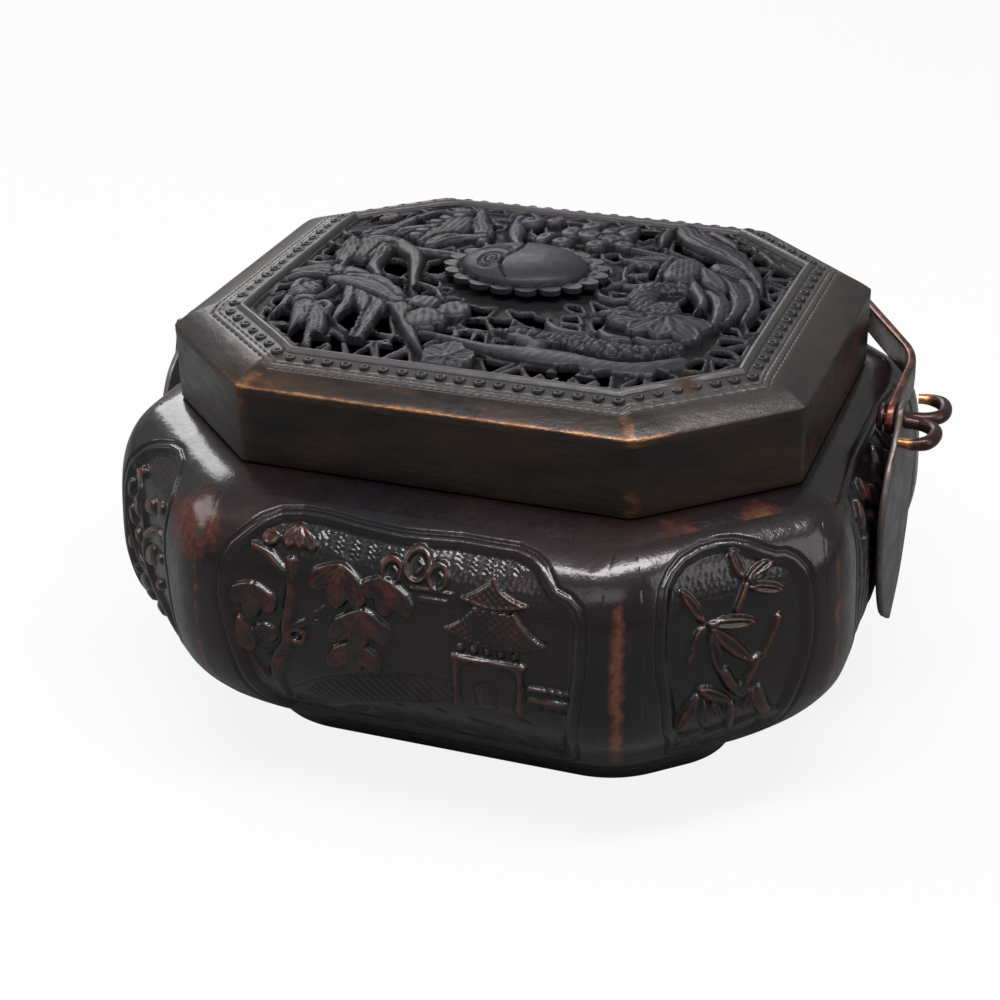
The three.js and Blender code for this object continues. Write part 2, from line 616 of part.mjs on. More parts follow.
// One leg runs out from the plate, turns and comes back to it.
function curledLeg(side) {
  return wire(SCROLL_CURVE.map(([away, along]) => new THREE.Vector3(
    LEG_START + SCROLL_OUT * away, side * along * SCROLL_SPAN, PIVOT_HEIGHT)));
}

// One leg hangs flat on the plate.
function foldedLeg(side) {
  return wire(FOLD_CURVE.map(([along, down]) => new THREE.Vector3(
    LEG_FLAT, side * along * FOLD_SPAN, PIVOT_HEIGHT - FOLD_DROP * down)));
}

function makePin(leg, reach) {
  const headInside = STRAP_X - STRAP_THICKNESS / 2 - SEAT_GAP - PIN_HEAD_THICKNESS;
  const head = rodAlongX(PIN_HEAD_RADIUS, headInside, headInside + PIN_HEAD_THICKNESS, PIVOT_HEIGHT);
  const shank = rodAlongX(PIN_RADIUS, headInside, reach, PIVOT_HEIGHT);
  return head.add(shank).add(leg(1)).add(leg(-1));
}

function mirrored(manifold) {
  return manifold.mirror([1, 0, 0]);
}

// Finishes from the photograph
const DARK_BRONZE = { color: 0x3b3336, roughness: 0.42, metalness: 0.85 };
const BROWN_BRONZE = { color: 0x6b5c54, roughness: 0.5, metalness: 0.8 };
const GREY_BRONZE = { color: 0x6d6b6c, roughness: 0.55, metalness: 0.75 };
const RED_COPPER = { color: 0x7a4a42, roughness: 0.4, metalness: 0.85 };

function piece(name, manifold, finish) {
  const mesh = new THREE.Mesh(geometryOf(manifold), new THREE.MeshStandardMaterial(finish));
  mesh.name = name;
  return mesh;
}

const burner = new THREE.Group();
burner.add(
  piece('body_shell', makeBody(), DARK_BRONZE),
  piece('base_plate', makeBase(), DARK_BRONZE),
  piece('neck_collar', makeCollar(), DARK_BRONZE),
);

const lid = new THREE.Group();
lid.add(
  piece('lid_wall', makeLidWall(), BROWN_BRONZE),
  piece('lid_panel', makeLidPanel(), GREY_BRONZE),
  piece('lid_boss', makeBoss(), GREY_BRONZE),
);
burner.add(lid);

const bail = new THREE.Group();
bail.position.z = PIVOT_HEIGHT;
bail.rotation.x = THREE.MathUtils.degToRad(REST_TILT);
bail.add(piece('bail', makeBail(), RED_COPPER));
burner.add(bail);

const plate = makePlate();
const curledPin = makePin(curledLeg, LEG_START + 1);
const foldedPin = makePin(foldedLeg, LEG_FLAT + LEG_RADIUS);
burner.add(
  piece('end_plate_right', plate, GREY_BRONZE),
  piece('end_plate_left', mirrored(plate), GREY_BRONZE),
  piece('split_pin_right', curledPin, RED_COPPER),
  piece('split_pin_left', mirrored(foldedPin), RED_COPPER),
);

export default burner;
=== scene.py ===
"""An eight-sided bronze incense burner with a pierced lid and a swing handle.

Sizes in the classes are millimetres and meshes are in metres. The origin is at the middle of the
base, +Z is up, -Y faces the side with the pagoda panel, and +X is the end whose handle pivot shows.
"""

import logging
import math
from dataclasses import dataclass
from enum import Enum

import bpy
import numpy as np
from mathutils import Matrix, Vector


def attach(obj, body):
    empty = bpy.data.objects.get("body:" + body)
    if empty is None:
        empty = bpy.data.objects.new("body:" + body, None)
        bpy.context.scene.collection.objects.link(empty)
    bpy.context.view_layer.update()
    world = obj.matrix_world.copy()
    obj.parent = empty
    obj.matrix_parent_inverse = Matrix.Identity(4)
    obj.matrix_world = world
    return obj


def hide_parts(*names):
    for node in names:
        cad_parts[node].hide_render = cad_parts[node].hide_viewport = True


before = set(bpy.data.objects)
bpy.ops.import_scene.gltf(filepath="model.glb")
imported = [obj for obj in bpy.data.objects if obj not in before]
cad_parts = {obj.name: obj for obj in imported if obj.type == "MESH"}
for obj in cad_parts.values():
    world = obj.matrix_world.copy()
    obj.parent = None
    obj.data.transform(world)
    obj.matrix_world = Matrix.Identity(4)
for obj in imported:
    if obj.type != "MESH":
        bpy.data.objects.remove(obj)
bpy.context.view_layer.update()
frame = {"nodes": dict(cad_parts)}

LOG = logging.getLogger("burner")
MM = 0.001
Array = np.ndarray


# Colour and nodes


def linear(code: str) -> tuple[float, float, float, float]:
    """Turn an sRGB hex colour into linear RGBA.

    Args:
        code: six hex digits.

    Returns:
        Red, green, blue and alpha from 0 to 1.
    """
    parts = [int(code[i : i + 2], 16) / 255 for i in (0, 2, 4)]
    flat = [p / 12.92 if p <= 0.04045 else ((p + 0.055) / 1.055) ** 2.4 for p in parts]
    return (*flat, 1.0)


def add(tree: bpy.types.NodeTree, kind: str, inputs: dict | None = None,
        **settings: object) -> bpy.types.Node:
    """Add a node with its settings, values and links.

    Args:
        tree: the tree that gets the node.
        kind: the node's type name.
        inputs: value or output socket for each input, by name or number.
        **settings: properties of the node itself.

    Returns:
        The new node.
    """
    node = tree.nodes.new(kind)
    for name, value in settings.items():
        setattr(node, name, value)
    for key, value in (inputs or {}).items():
        if isinstance(value, bpy.types.NodeSocket):
            tree.links.new(value, node.inputs[key])
        else:
            node.inputs[key].default_value = value
    return node


@dataclass(frozen=True)
class Bronze:
    """Cast and chased copper alloy under a dark patina, rubbed back to metal where hands reach.

    The patina is an oxide film, so it is less metallic than the bare metal under it, and wax on it
    gives the clear highlight. Wear, red oxide and verdigris follow the piece's own attributes, and
    painted shade darkens the colour where the piece marks its hollows.
    """

    name: str
    patina: str
    patina_drift: str
    worn: tuple[str, str, str] = ("331c1a", "6a3a2c", "b08054")
    red_oxide: str = "5e2d21"
    deep_oxide: str = "3b1612"
    mottling: str = "807a80"
    # Near-black colour of the painted shade in hollows, grooves and low places
    verdigris: str = "273527"
    crevice: str = "060506"
    metallic: float = 0.4
    roughness: float = 0.4
    worn_roughness: float = 0.34
    film: float = 0.35
    wax: float = 0.45
    wax_roughness: float = 0.2
    stretch: tuple[float, float, float] = (1.0, 1.0, 1.0)
    drift_mm: float = 24.0
    mottle_mm: float = 2.6
    grain_mm: float = 0.5
    grain_depth_mm: float = 0.035
    dent_depth_mm: float = 0.16
    wear_from: float = 0.25
    other: str | None = None

    def material(self) -> bpy.types.Material:
        """Build the node material.

        Returns:
            The finished material.
        """
        made = bpy.data.materials.get(self.name)
        if made:
            return made
        made = bpy.data.materials.new(self.name)
        made.use_nodes = True
        tree = made.node_tree
        tree.nodes.clear()
        spot = add(tree, "ShaderNodeTexCoord").outputs["Object"]
        place = add(tree, "ShaderNodeMapping", {"Vector": spot, "Scale": self.stretch}).outputs[0]

        def cloud(size_mm: float, detail: float, rough: float = 0.55) -> bpy.types.NodeSocket:
            """Noise with grains of a given size."""
            return add(
                tree, "ShaderNodeTexNoise",
                {"Vector": place, "Scale": 1000 / size_mm, "Detail": detail, "Roughness": rough},
            ).outputs["Fac"]

        def mix(fac: object, a: object, b: object, blend: str = "MIX") -> bpy.types.NodeSocket:
            """Colour a, turning into colour b as fac rises."""
            return add(
                tree, "ShaderNodeMix", {0: fac, 6: a, 7: b}, data_type="RGBA", blend_type=blend
            ).outputs[2]

        def spread(value: object, low: float, high: float, to_low: float = 0.0,
                   to_high: float = 1.0) -> bpy.types.NodeSocket:
            """A value's range from low to high, spread smoothly over another range."""
            return add(
                tree, "ShaderNodeMapRange",
                {0: value, 1: low, 2: high, 3: to_low, 4: to_high}, interpolation_type="SMOOTHSTEP",
            ).outputs[0]

        def maths(operation: str, a: object, b: object) -> bpy.types.NodeSocket:
            """One arithmetic step."""
            return add(tree, "ShaderNodeMath", {0: a, 1: b}, operation=operation).outputs[0]

        def stirred(value: object, noise: object, amount: float) -> bpy.types.NodeSocket:
            """A value made ragged by a noise around its middle."""
            return maths("ADD", value, maths("MULTIPLY", maths("SUBTRACT", noise, 0.5), amount))

        def mark(name: str) -> bpy.types.NodeSocket:
            """A point attribute of the mesh, by name."""
            return add(tree, "ShaderNodeAttribute", attribute_name=name).outputs["Fac"]

        drift, mottle, speckle = cloud(self.drift_mm, 3), cloud(self.mottle_mm, 6), cloud(0.9, 4)
        skin = mix(spread(drift, 0.35, 0.65), linear(self.patina), linear(self.patina_drift))
        if self.other:
            skin = mix(mark("other"), skin, linear(self.other))
        skin = mix(spread(mottle, 0.3, 0.75, 0.0, 0.45), skin,
                   mix(0.5, skin, linear(self.mottling), "MULTIPLY"))
        worn = spread(stirred(mark("wear"), mottle, 0.9), self.wear_from, self.wear_from + 0.75)
        ramp = add(tree, "ShaderNodeValToRGB", {0: stirred(worn, speckle, 0.9)})
        ramp.color_ramp.elements[0].color = linear(self.worn[0])
        ramp.color_ramp.elements[0].position = 0.15
        ramp.color_ramp.elements[1].color = linear(self.worn[2])
        ramp.color_ramp.elements.new(0.6).color = linear(self.worn[1])
        colour = mix(spread(worn, 0.05, 0.55), skin, ramp.outputs[0])
        rust = spread(stirred(mark("rust"), mottle, 1.1), 0.3, 0.75)
        oxide = mix(spread(speckle, 0.35, 0.7), linear(self.red_oxide), linear(self.deep_oxide))
        colour = mix(rust, colour, oxide)
        green = spread(stirred(mark("verdigris"), mottle, 0.9), 0.4, 0.75)
        colour = mix(green, colour, linear(self.verdigris))
        # Painted shade: the colour turns near-black where the crevice mark is high, and the metal
        # look fades there too (below)
        pit = spread(mark("crevice"), 0.05, 0.8)
        colour = mix(pit, colour, linear(self.crevice))
        rough = maths("ADD", spread(mottle, 0.3, 0.7, self.roughness - 0.06, self.roughness + 0.08),
                      maths("MULTIPLY", worn, self.worn_roughness - self.roughness))
        crust = maths("MAXIMUM", maths("MAXIMUM", rust, green), pit)
        rough = maths("ADD", rough, maths("MULTIPLY", crust, 0.3))
        metal = spread(worn, 0.1, 0.7, self.metallic, 0.9)
        metal = maths("MULTIPLY", metal, maths("SUBTRACT", 1.0, maths("MULTIPLY", pit, 0.7)))
        dent = add(tree, "ShaderNodeBump", {
            "Strength": 0.7, "Distance": self.dent_depth_mm * MM, "Height": cloud(3.6, 5, 0.62)})
        grain = add(tree, "ShaderNodeBump", {
            "Strength": 0.8, "Distance": self.grain_depth_mm * MM,
            "Height": cloud(self.grain_mm, 3, 0.7), "Normal": dent.outputs[0]})
        shader = add(tree, "ShaderNodeBsdfPrincipled", {
            "Base Color": colour, "Metallic": metal, "Roughness": rough,
            "Specular IOR Level": self.film, "Coat Weight": self.wax,
            "Coat Roughness": self.wax_roughness,
            "Coat Normal": dent.outputs[0], "Normal": grain.outputs[0]})
        output = add(tree, "ShaderNodeOutputMaterial")
        tree.links.new(shader.outputs[0], output.inputs[0])
        return made


# Purple-brown film under clear wax: nearly black, with sharp bright highlights
POT_BRONZE = Bronze("pot bronze, waxed purple-brown patina", "120e13", "251517",
                    worn=("3a1c19", "63352a", "8a5c3c"), film=0.25, wax=0.9, wax_roughness=0.14,
                    mottle_mm=3.2)
# Brushed and hardly waxed: olive-brown, with highlights drawn out into soft streaks
# Its second, lighter grey is a painted reflection on the left-front of the wall and the border
# band's own grey tone
LID_BRONZE = Bronze("lid bronze, brushed olive-brown patina", "1d1a19", "34271f",
                    worn=("3a2921", "5f4333", "8a694b"), film=0.3, wax=0.22, other="545150",
                    mottle_mm=5.0, stretch=(1.0, 1.0, 3.5))
# Dry grey film with fine grain: satin on the figures, near-black where painted shade marks the
# hollows, the low ground and the underside
PIERCED_BRONZE = Bronze("pierced bronze, grey satin patina", "25252a", "33323a",
                        worn=("38373d", "4e4d55", "76747c"), crevice="030304", metallic=0.35,
                        roughness=0.52, film=0.3, wax=0.08, drift_mm=30.0, mottle_mm=1.6,
                        grain_mm=0.7, grain_depth_mm=0.06)
# Copper rubbed by hands: red-brown, with bright warm edges
HANDLE_COPPER = Bronze(
    "hand-rubbed copper, red-brown", "3c2525", "4e3130", worn=("6a3a30", "96573a", "cf9566"),
    metallic=0.7, roughness=0.32, wax=0.3, mottle_mm=3.0)
# Rolled sheet under a thin film: even grey, dull sheen
PLATE_BRONZE = Bronze(
    "sheet bronze, grey film", "56545a", "66646a", worn=("6a5c54", "8a7466", "a8907a"),
    metallic=0.65, roughness=0.42, wax=0.15, mottle_mm=4.0)
# Soot over bronze: nearly black, without shine
INNER_BRONZE = Bronze(
    "inner bronze, sooty", "161314", "221c1b", worn=("2b1f1c", "463026", "6a5036"),
    roughness=0.6, wax=0.0, mottle_mm=3.0)


# Meshes


def new_object(name: str, data: bpy.types.ID) -> bpy.types.Object:
    """Put a new object with its data into the scene."""
    made = bpy.data.objects.new(name, data)
    bpy.context.scene.collection.objects.link(made)
    return made


def grid_faces(rows: int, columns: int, around: bool = False, closed_rows: bool = False) -> Array:
    """Quads of a grid whose points are numbered row by row.

    Args:
        rows: number of rows of points.
        columns: number of points in a row.
        around: whether the last column joins the first.
        closed_rows: whether the last row joins the first.

    Returns:
        Point numbers, four to a quad.
    """
    r = np.arange(rows if closed_rows else rows - 1)[:, None]
    c = np.arange(columns if around else columns - 1)[None]
    nr, nc = (r + 1) % rows, (c + 1) % columns
    quads = [r * columns + c, r * columns + nc, nr * columns + nc, nr * columns + c]
    return np.stack([np.broadcast_to(q, np.broadcast_shapes(r.shape, c.shape)).ravel()
                     for q in quads], 1)


def make_piece(name: str, points: Array, faces: list[Array], marks: dict[str, Array] | None = None,
               sharp_degrees: float = 180.0) -> bpy.types.Object:
    """Build a smooth mesh object from arrays.

    Args:
        name: name of the object.
        points: positions in millimetres.
        faces: arrays of point numbers, one array for each number of corners.
        marks: value for each point, by attribute name.
        sharp_degrees: edges that turn more than this stay sharp.

    Returns:
        The new object, at the origin.
    """
    mesh = bpy.data.meshes.new(name)
    mesh.vertices.add(len(points))
    mesh.vertices.foreach_set("co", (np.asarray(points) * MM).astype(np.float32).ravel())
    loops = np.concatenate([np.asarray(f).ravel() for f in faces]).astype(np.int32)
    sizes = np.concatenate([np.full(len(f), np.shape(f)[1]) for f in faces])
    mesh.loops.add(len(loops))
    mesh.loops.foreach_set("vertex_index", loops)
    mesh.polygons.add(len(sizes))
    mesh.polygons.foreach_set("loop_start", np.r_[0, np.cumsum(sizes)[:-1]].astype(np.int32))
    mesh.update(calc_edges=True)
    mesh.validate()
    for key, values in (marks or {}).items():
        layer = mesh.attributes.new(key, "FLOAT", "POINT")
        layer.data.foreach_set("value", np.asarray(values).astype(np.float32).ravel())
    mesh.shade_smooth()
    if sharp_degrees < 180:
        mesh.set_sharp_from_angle(angle=math.radians(sharp_degrees))
    return new_object(name, mesh)


def fan(first: int, count: int, centre: int) -> Array:
    """Triangles from a ring of numbered points to one centre point."""
    ring = np.arange(count)
    return np.stack([first + ring, first + (ring + 1) % count, np.full(count, centre)], 1)


class Body(Enum):
    """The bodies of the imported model."""

    POT = "pot"
    LID = "lid"
    HANDLE = "handle"


def dress(piece: bpy.types.Object, finish: Bronze, body: Body) -> None:
    """Give a piece its material and body, and report it.

    Args:
        piece: the finished object.
        finish: what it is made of.
        body: the body it moves with.
    """
    piece.data.materials.clear()
    piece.data.materials.append(finish.material())
    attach(piece, body.value)
    LOG.info("%s: %d faces, %s", piece.name, len(piece.data.polygons), finish.name)


def smooth(value: Array, low: float, high: float) -> Array:
    """Rise smoothly from 0 at low to 1 at high."""
    t = np.clip((value - low) / (high - low), 0, 1)
    return t * t * (3 - 2 * t)


def peak(value: Array, width: float) -> Array:
    """Peak of 1 where a value is 0, fading away on both sides over a width."""
    return np.exp(-((value / width) ** 2))


def box_blur(values: Array, reach: int) -> Array:
    """Average each cell of a grid with its neighbours, twice in each direction.

    Args:
        values: the grid.
        reach: cells taken on either side.

    Returns:
        The smoothed grid.
    """
    for axis in (0, 1, 0, 1):
        padded = np.pad(values, [(reach + 1, reach) if a == axis else (0, 0) for a in (0, 1)],
                        mode="edge")
        total = np.cumsum(padded, axis=axis)
        size = 2 * reach + 1
        values = (np.take(total, np.arange(size, total.shape[axis]), axis=axis)
                  - np.take(total, np.arange(0, total.shape[axis] - size), axis=axis)) / size
    return values


def ripple(points: Array, sizes: tuple[float, ...] = (31.0, 17.0, 9.0)) -> Array:
    """Slow unevenness of hand work, the same for every piece at one place.

    Args:
        points: positions in millimetres.
        sizes: wave lengths in millimetres.

    Returns:
        Values around -1 to 1.
    """
    x, y, z = np.moveaxis(points, -1, 0)
    total = np.zeros(x.shape)
    for n, size in enumerate(sizes):
        k = 2 * math.pi / size
        bent = np.sin(k * x + 1.3 * n + 0.7 * np.sin(k * 0.6 * y))
        total += bent * np.sin(k * 0.9 * y + 2.1 * n) * np.cos(k * 0.8 * z + 0.4 * n) / (1 + n)
    return total / 1.6


def ripple_flat(x: Array, y: Array, sizes: tuple[float, ...]) -> Array:
    """The same unevenness on a flat drawing."""
    return ripple(np.stack([x, y, 0 * x], -1), sizes)


def arc_lengths(line: Array) -> Array:
    """Distance along a line at each of its points."""
    return np.r_[0, np.cumsum(np.linalg.norm(np.diff(line, axis=0), axis=1))]


def through(line: Array, fine: Array, slope: Array) -> Array:
    """Pass a smooth curve through a line's corners.

    Args:
        line: the corners.
        fine: distances along the line at which the curve is read.
        slope: direction of the curve at each corner.

    Returns:
        Places on the curve.
    """
    steps = arc_lengths(line)
    i = np.clip(np.searchsorted(steps, fine) - 1, 0, len(steps) - 2)
    h = (steps[i + 1] - steps[i])[:, None]
    u = (fine - steps[i])[:, None] / h
    return ((2 * u**3 - 3 * u**2 + 1) * line[i] + (u**3 - 2 * u**2 + u) * h * slope[i]
            + (3 * u**2 - 2 * u**3) * line[i + 1] + (u**3 - u**2) * h * slope[i + 1])


def rounded(line: Array, count: int | None = None) -> Array:
    """Pass a smooth curve through a line's corners, in a flat drawing or in space.

    Args:
        line: the corners.
        count: number of places on the curve; one every 0.7 mm where none is given.

    Returns:
        Places on the curve.
    """
    steps = arc_lengths(line)
    count = count or max(8, int(steps[-1] / 0.7))
    return through(line, np.linspace(0, steps[-1], count), np.gradient(line, steps, axis=0))


def normals_of(points: Array) -> Array:
    """Unit normals of a grid of points, from its two directions."""
    across = np.gradient(points, axis=1)
    up = np.gradient(points, axis=0)
    normal = np.cross(across, up)
    return normal / np.maximum(np.linalg.norm(normal, axis=-1, keepdims=True), 1e-9)


# Carving


class Edge(Enum):
    """How a leaf narrows towards its tip."""

    POINTED = "pointed"
    ROUND = "round"


@dataclass
class Form:
    """Where a motif lies on the grid, how far inside it each place is, and its two directions."""

    spot: tuple[Array, Array]
    inside: Array
    along: Array
    across: Array


class Relief:
    """A height field in millimetres that motifs are raised on or cut into."""

    def __init__(self, x: Array, y: Array, ground: Array | float = 0.0) -> None:
        """Start a plain field.

        Args:
            x: first coordinate of each place.
            y: second coordinate.
            ground: height before any carving.
        """
        self.x, self.y = x, y
        self.height = np.zeros(x.shape) + ground
        self.cover = np.full(x.shape, -5.0)

    def near(self, points: Array, margin: float) -> tuple[Array, Array]:
        """Grid places within a margin of some points."""
        low, high = np.min(points, 0) - margin, np.max(points, 0) + margin
        return np.nonzero((self.x > low[0]) & (self.x < high[0]) & (self.y > low[1])
                          & (self.y < high[1]))

    def path(self, points: list, widths: float | tuple) -> Form:
        """A band along a line.

        Args:
            points: the line's corners.
            widths: full width, or the widths spread evenly from start to end.

        Returns:
            The band's form; along is the arc length and across the signed distance.
        """
        line = np.array(points, float)
        if len(line) > 2:
            line = rounded(line)
        steps = arc_lengths(line)
        spread = np.atleast_1d(np.array(widths, float)) / 2
        radii = np.interp(steps / steps[-1], np.linspace(0, 1, len(spread)), spread)
        spot = self.near(line, radii.max() + 0.8)
        px, py = self.x[spot], self.y[spot]
        inside = np.full(px.shape, -9.0)
        along, across = np.zeros(px.shape), np.zeros(px.shape)
        for (x0, y0), (x1, y1), r0, r1, s0, s1 in zip(line, line[1:], radii, radii[1:], steps,
                                                      steps[1:]):
            dx, dy, length = x1 - x0, y1 - y0, max(s1 - s0, 1e-6)
            t = np.clip(((px - x0) * dx + (py - y0) * dy) / length**2, 0, 1)
            gap = np.hypot(px - x0 - dx * t, py - y0 - dy * t)
            side = np.sign(dx * (py - y0) - dy * (px - x0))
            depth = r0 + (r1 - r0) * t - gap
            take = depth > inside
            inside = np.where(take, depth, inside)
            along = np.where(take, s0 + (s1 - s0) * t, along)
            across = np.where(take, side * gap, across)
        return Form(spot, inside, along, across)

    def leaf(self, base: tuple, tip: tuple, width: float, edge: Edge = Edge.ROUND) -> Form:
        """A leaf or petal from its base to its tip.

        Args:
            base: where it grows from.
            tip: its far end.
            width: full width at its widest.
            edge: how it narrows.

        Returns:
            The leaf's form; along runs from 0 to 1 and across in millimetres.
        """
        ends = np.array([base, tip], float)
        way = ends[1] - ends[0]
        length = np.hypot(*way)
        spot = self.near(ends, width)
        px, py = self.x[spot] - ends[0, 0], self.y[spot] - ends[0, 1]
        t = (px * way[0] + py * way[1]) / length**2
        v = (px * -way[1] + py * way[0]) / length
        inner = np.clip(t, 0, 1)
        if edge is Edge.POINTED:
            shape = np.clip(4 * inner * (1 - inner), 0, 1) ** 0.7
        else:
            tail = np.clip((inner - 0.6) / 0.4, 0, 1)
            shape = np.where(inner < 0.6, (inner / 0.6) ** 0.6, np.sqrt(1 - tail**2))
        half = width / 2 * shape
        beyond = np.maximum(-t, t - 1) * length
        inside = np.where((t > 0) & (t < 1), (half - np.abs(v)) * 0.9,
                          -np.hypot(np.maximum(beyond, 0), v))
        return Form(spot, inside, t, v)

    def oval(self, centre: tuple, radii: tuple, degrees: float = 0.0) -> Form:
        """An ellipse, turned by some degrees; along is the share out from its middle."""
        spot = self.near(np.array([centre], float), max(radii) + 0.8)
        c, s = math.cos(math.radians(degrees)), math.sin(math.radians(degrees))
        dx, dy = self.x[spot] - centre[0], self.y[spot] - centre[1]
        a, b = dx * c + dy * s, dy * c - dx * s
        out = np.hypot(a / radii[0], b / radii[1])
        return Form(spot, (1 - out) * min(radii), out, b)

    def shape(self, corners: list) -> Form:
        """A closed polygon; along and across are the plain coordinates."""
        line = np.array(corners + corners[:1], float)
        spot = self.near(line, 0.8)
        px, py = self.x[spot], self.y[spot]
        gap, within = np.full(px.shape, 99.0), np.zeros(px.shape, bool)
        for (x0, y0), (x1, y1) in zip(line, line[1:]):
            dx, dy = x1 - x0, y1 - y0
            t = np.clip(((px - x0) * dx + (py - y0) * dy) / (dx * dx + dy * dy), 0, 1)
            gap = np.minimum(gap, np.hypot(px - x0 - dx * t, py - y0 - dy * t))
            if y0 != y1:
                crosses = ((y0 > py) != (y1 > py)) & (px < x0 + dx * (py - y0) / dy)
                within ^= crosses
        return Form(spot, np.where(within, gap, -gap), px, py)

    def raise_form(self, form: Form, level: float, bevel: float = 0.6, crown: float = 0.0,
                   rim: float = 0.0) -> Form:
        """Lift a form to a level, with a rounded edge, a crowned middle and an optional rim.

        Args:
            form: where.
            level: height at its middle.
            bevel: width of the rounded edge.
            crown: how much higher the middle is than the edge.
            rim: height of a raised rim just inside the edge.

        Returns:
            The same form.
        """
        t = np.clip(form.inside / bevel, 0, 1)
        lift = level * np.sqrt(1 - (1 - t) ** 2)
        if crown:
            lift = lift - crown * (1 - smooth(form.inside, 0, max(form.inside.max(), 0.1)))
        if rim:
            lift = lift + rim * np.exp(-(((form.inside - bevel * 0.8) / (bevel * 0.5)) ** 2))
        old = self.height[form.spot]
        self.height[form.spot] = np.where(form.inside > 0, np.maximum(old, lift), old)
        self.cover[form.spot] = np.maximum(self.cover[form.spot], form.inside)
        return form

    def lower(self, form: Form, depth: float, soft: float = 0.3) -> None:
        """Cut a form below the height that is there."""
        self.height[form.spot] -= depth * smooth(form.inside, -0.02, soft)

    def comb(self, form: Form, values: Array, pitch: float, depth: float,
             edge: float = 0.25) -> None:
        """Cut fine parallel grooves where some value passes each whole pitch.

        Args:
            form: where.
            values: what the grooves count along, in millimetres.
            pitch: distance between grooves.
            depth: their depth.
            edge: grooves fade within this of the form's edge.
        """
        wave = 0.5 + 0.5 * np.cos(2 * math.pi * values / pitch)
        self.height[form.spot] -= depth * wave**2 * smooth(form.inside, 0, edge)

    def hatch(self, form: Form, degrees: float, pitch: float, depth: float) -> None:
        """Cut straight parallel grooves at an angle across a form."""
        c, s = math.cos(math.radians(degrees)), math.sin(math.radians(degrees))
        self.comb(form, -self.x[form.spot] * s + self.y[form.spot] * c, pitch, depth)

    def scales(self, form: Form, u: Array, v: Array, pitch: float, depth: float) -> None:
        """Cut rows of overlapping round scales.

        Args:
            form: where.
            u: coordinate that the scales point along, in millimetres.
            v: coordinate across them.
            pitch: width of a scale.
            depth: depth of the line between scales.
        """
        row = np.floor(u / (pitch * 0.6))
        a = u / (pitch * 0.6) - row
        b = (v / pitch + 0.5 * (row % 2)) % 1 - 0.5
        gap = np.abs(np.hypot(a * 0.6, b) - 0.5)
        self.height[form.spot] -= depth * peak(gap, 0.13) * smooth(form.inside, 0, 0.3)

    def line(self, points: list, widths: float | tuple, level: float, **more: float) -> Form:
        """Raise a rounded band along a line, to a level."""
        form = self.path(points, widths)
        return self.raise_form(form, level, bevel=max(np.max(widths) / 2, 0.2), **more)

    def groove(self, points: list, width: float, depth: float, dash: float = 0.0) -> None:
        """Cut a line, broken into dashes where a dash length is given."""
        form = self.path(points, width)
        amount = smooth(form.inside, -0.05, width / 2)
        if dash:
            beat = np.cos(2 * math.pi * form.along / dash)
            amount = amount * (0.45 + 0.55 * smooth(beat, -0.7, 0.1))
        self.height[form.spot] -= depth * amount

    def hollows(self, reach: int, pit: float, peak: float) -> tuple[Array, Array]:
        """Find what lies low and what stands proud of its surroundings.

        Args:
            reach: cells averaged over on either side.
            pit: depth that counts as fully dark.
            peak: height that counts as fully rubbed.

        Returns:
            Two grids from 0 to 1: the painted shade of what lies low, and wear.
        """
        away = self.height - box_blur(self.height, reach)
        return np.clip(-away / pit, 0, 1), np.clip(away / peak, 0, 1)


# Plans


def octagon(half_length: Array, half_width: Array, corner_x: Array, corner_y: Array) -> list[Array]:
    """Corners of the eight-sided plan, anticlockwise from the front corner of the +X end."""
    a, b, cx, cy = half_length, half_width, corner_x, corner_y
    spots = [(a, cy - b), (a, b - cy), (a - cx, b), (cx - a, b), (-a, b - cy), (-a, cy - b),
             (cx - a, -b), (a - cx, -b)]
    return [np.stack(np.broadcast_arrays(*np.atleast_1d(x, y)), -1).astype(float) for x, y in spots]


class Side(Enum):
    """Sides of the plan, in the order of the corners that they start from."""

    RIGHT_END = 0
    RIGHT_BACK = 1
    BACK = 2
    LEFT_BACK = 3
    LEFT_END = 4
    LEFT_FRONT = 5
    FRONT = 6
    RIGHT_FRONT = 7


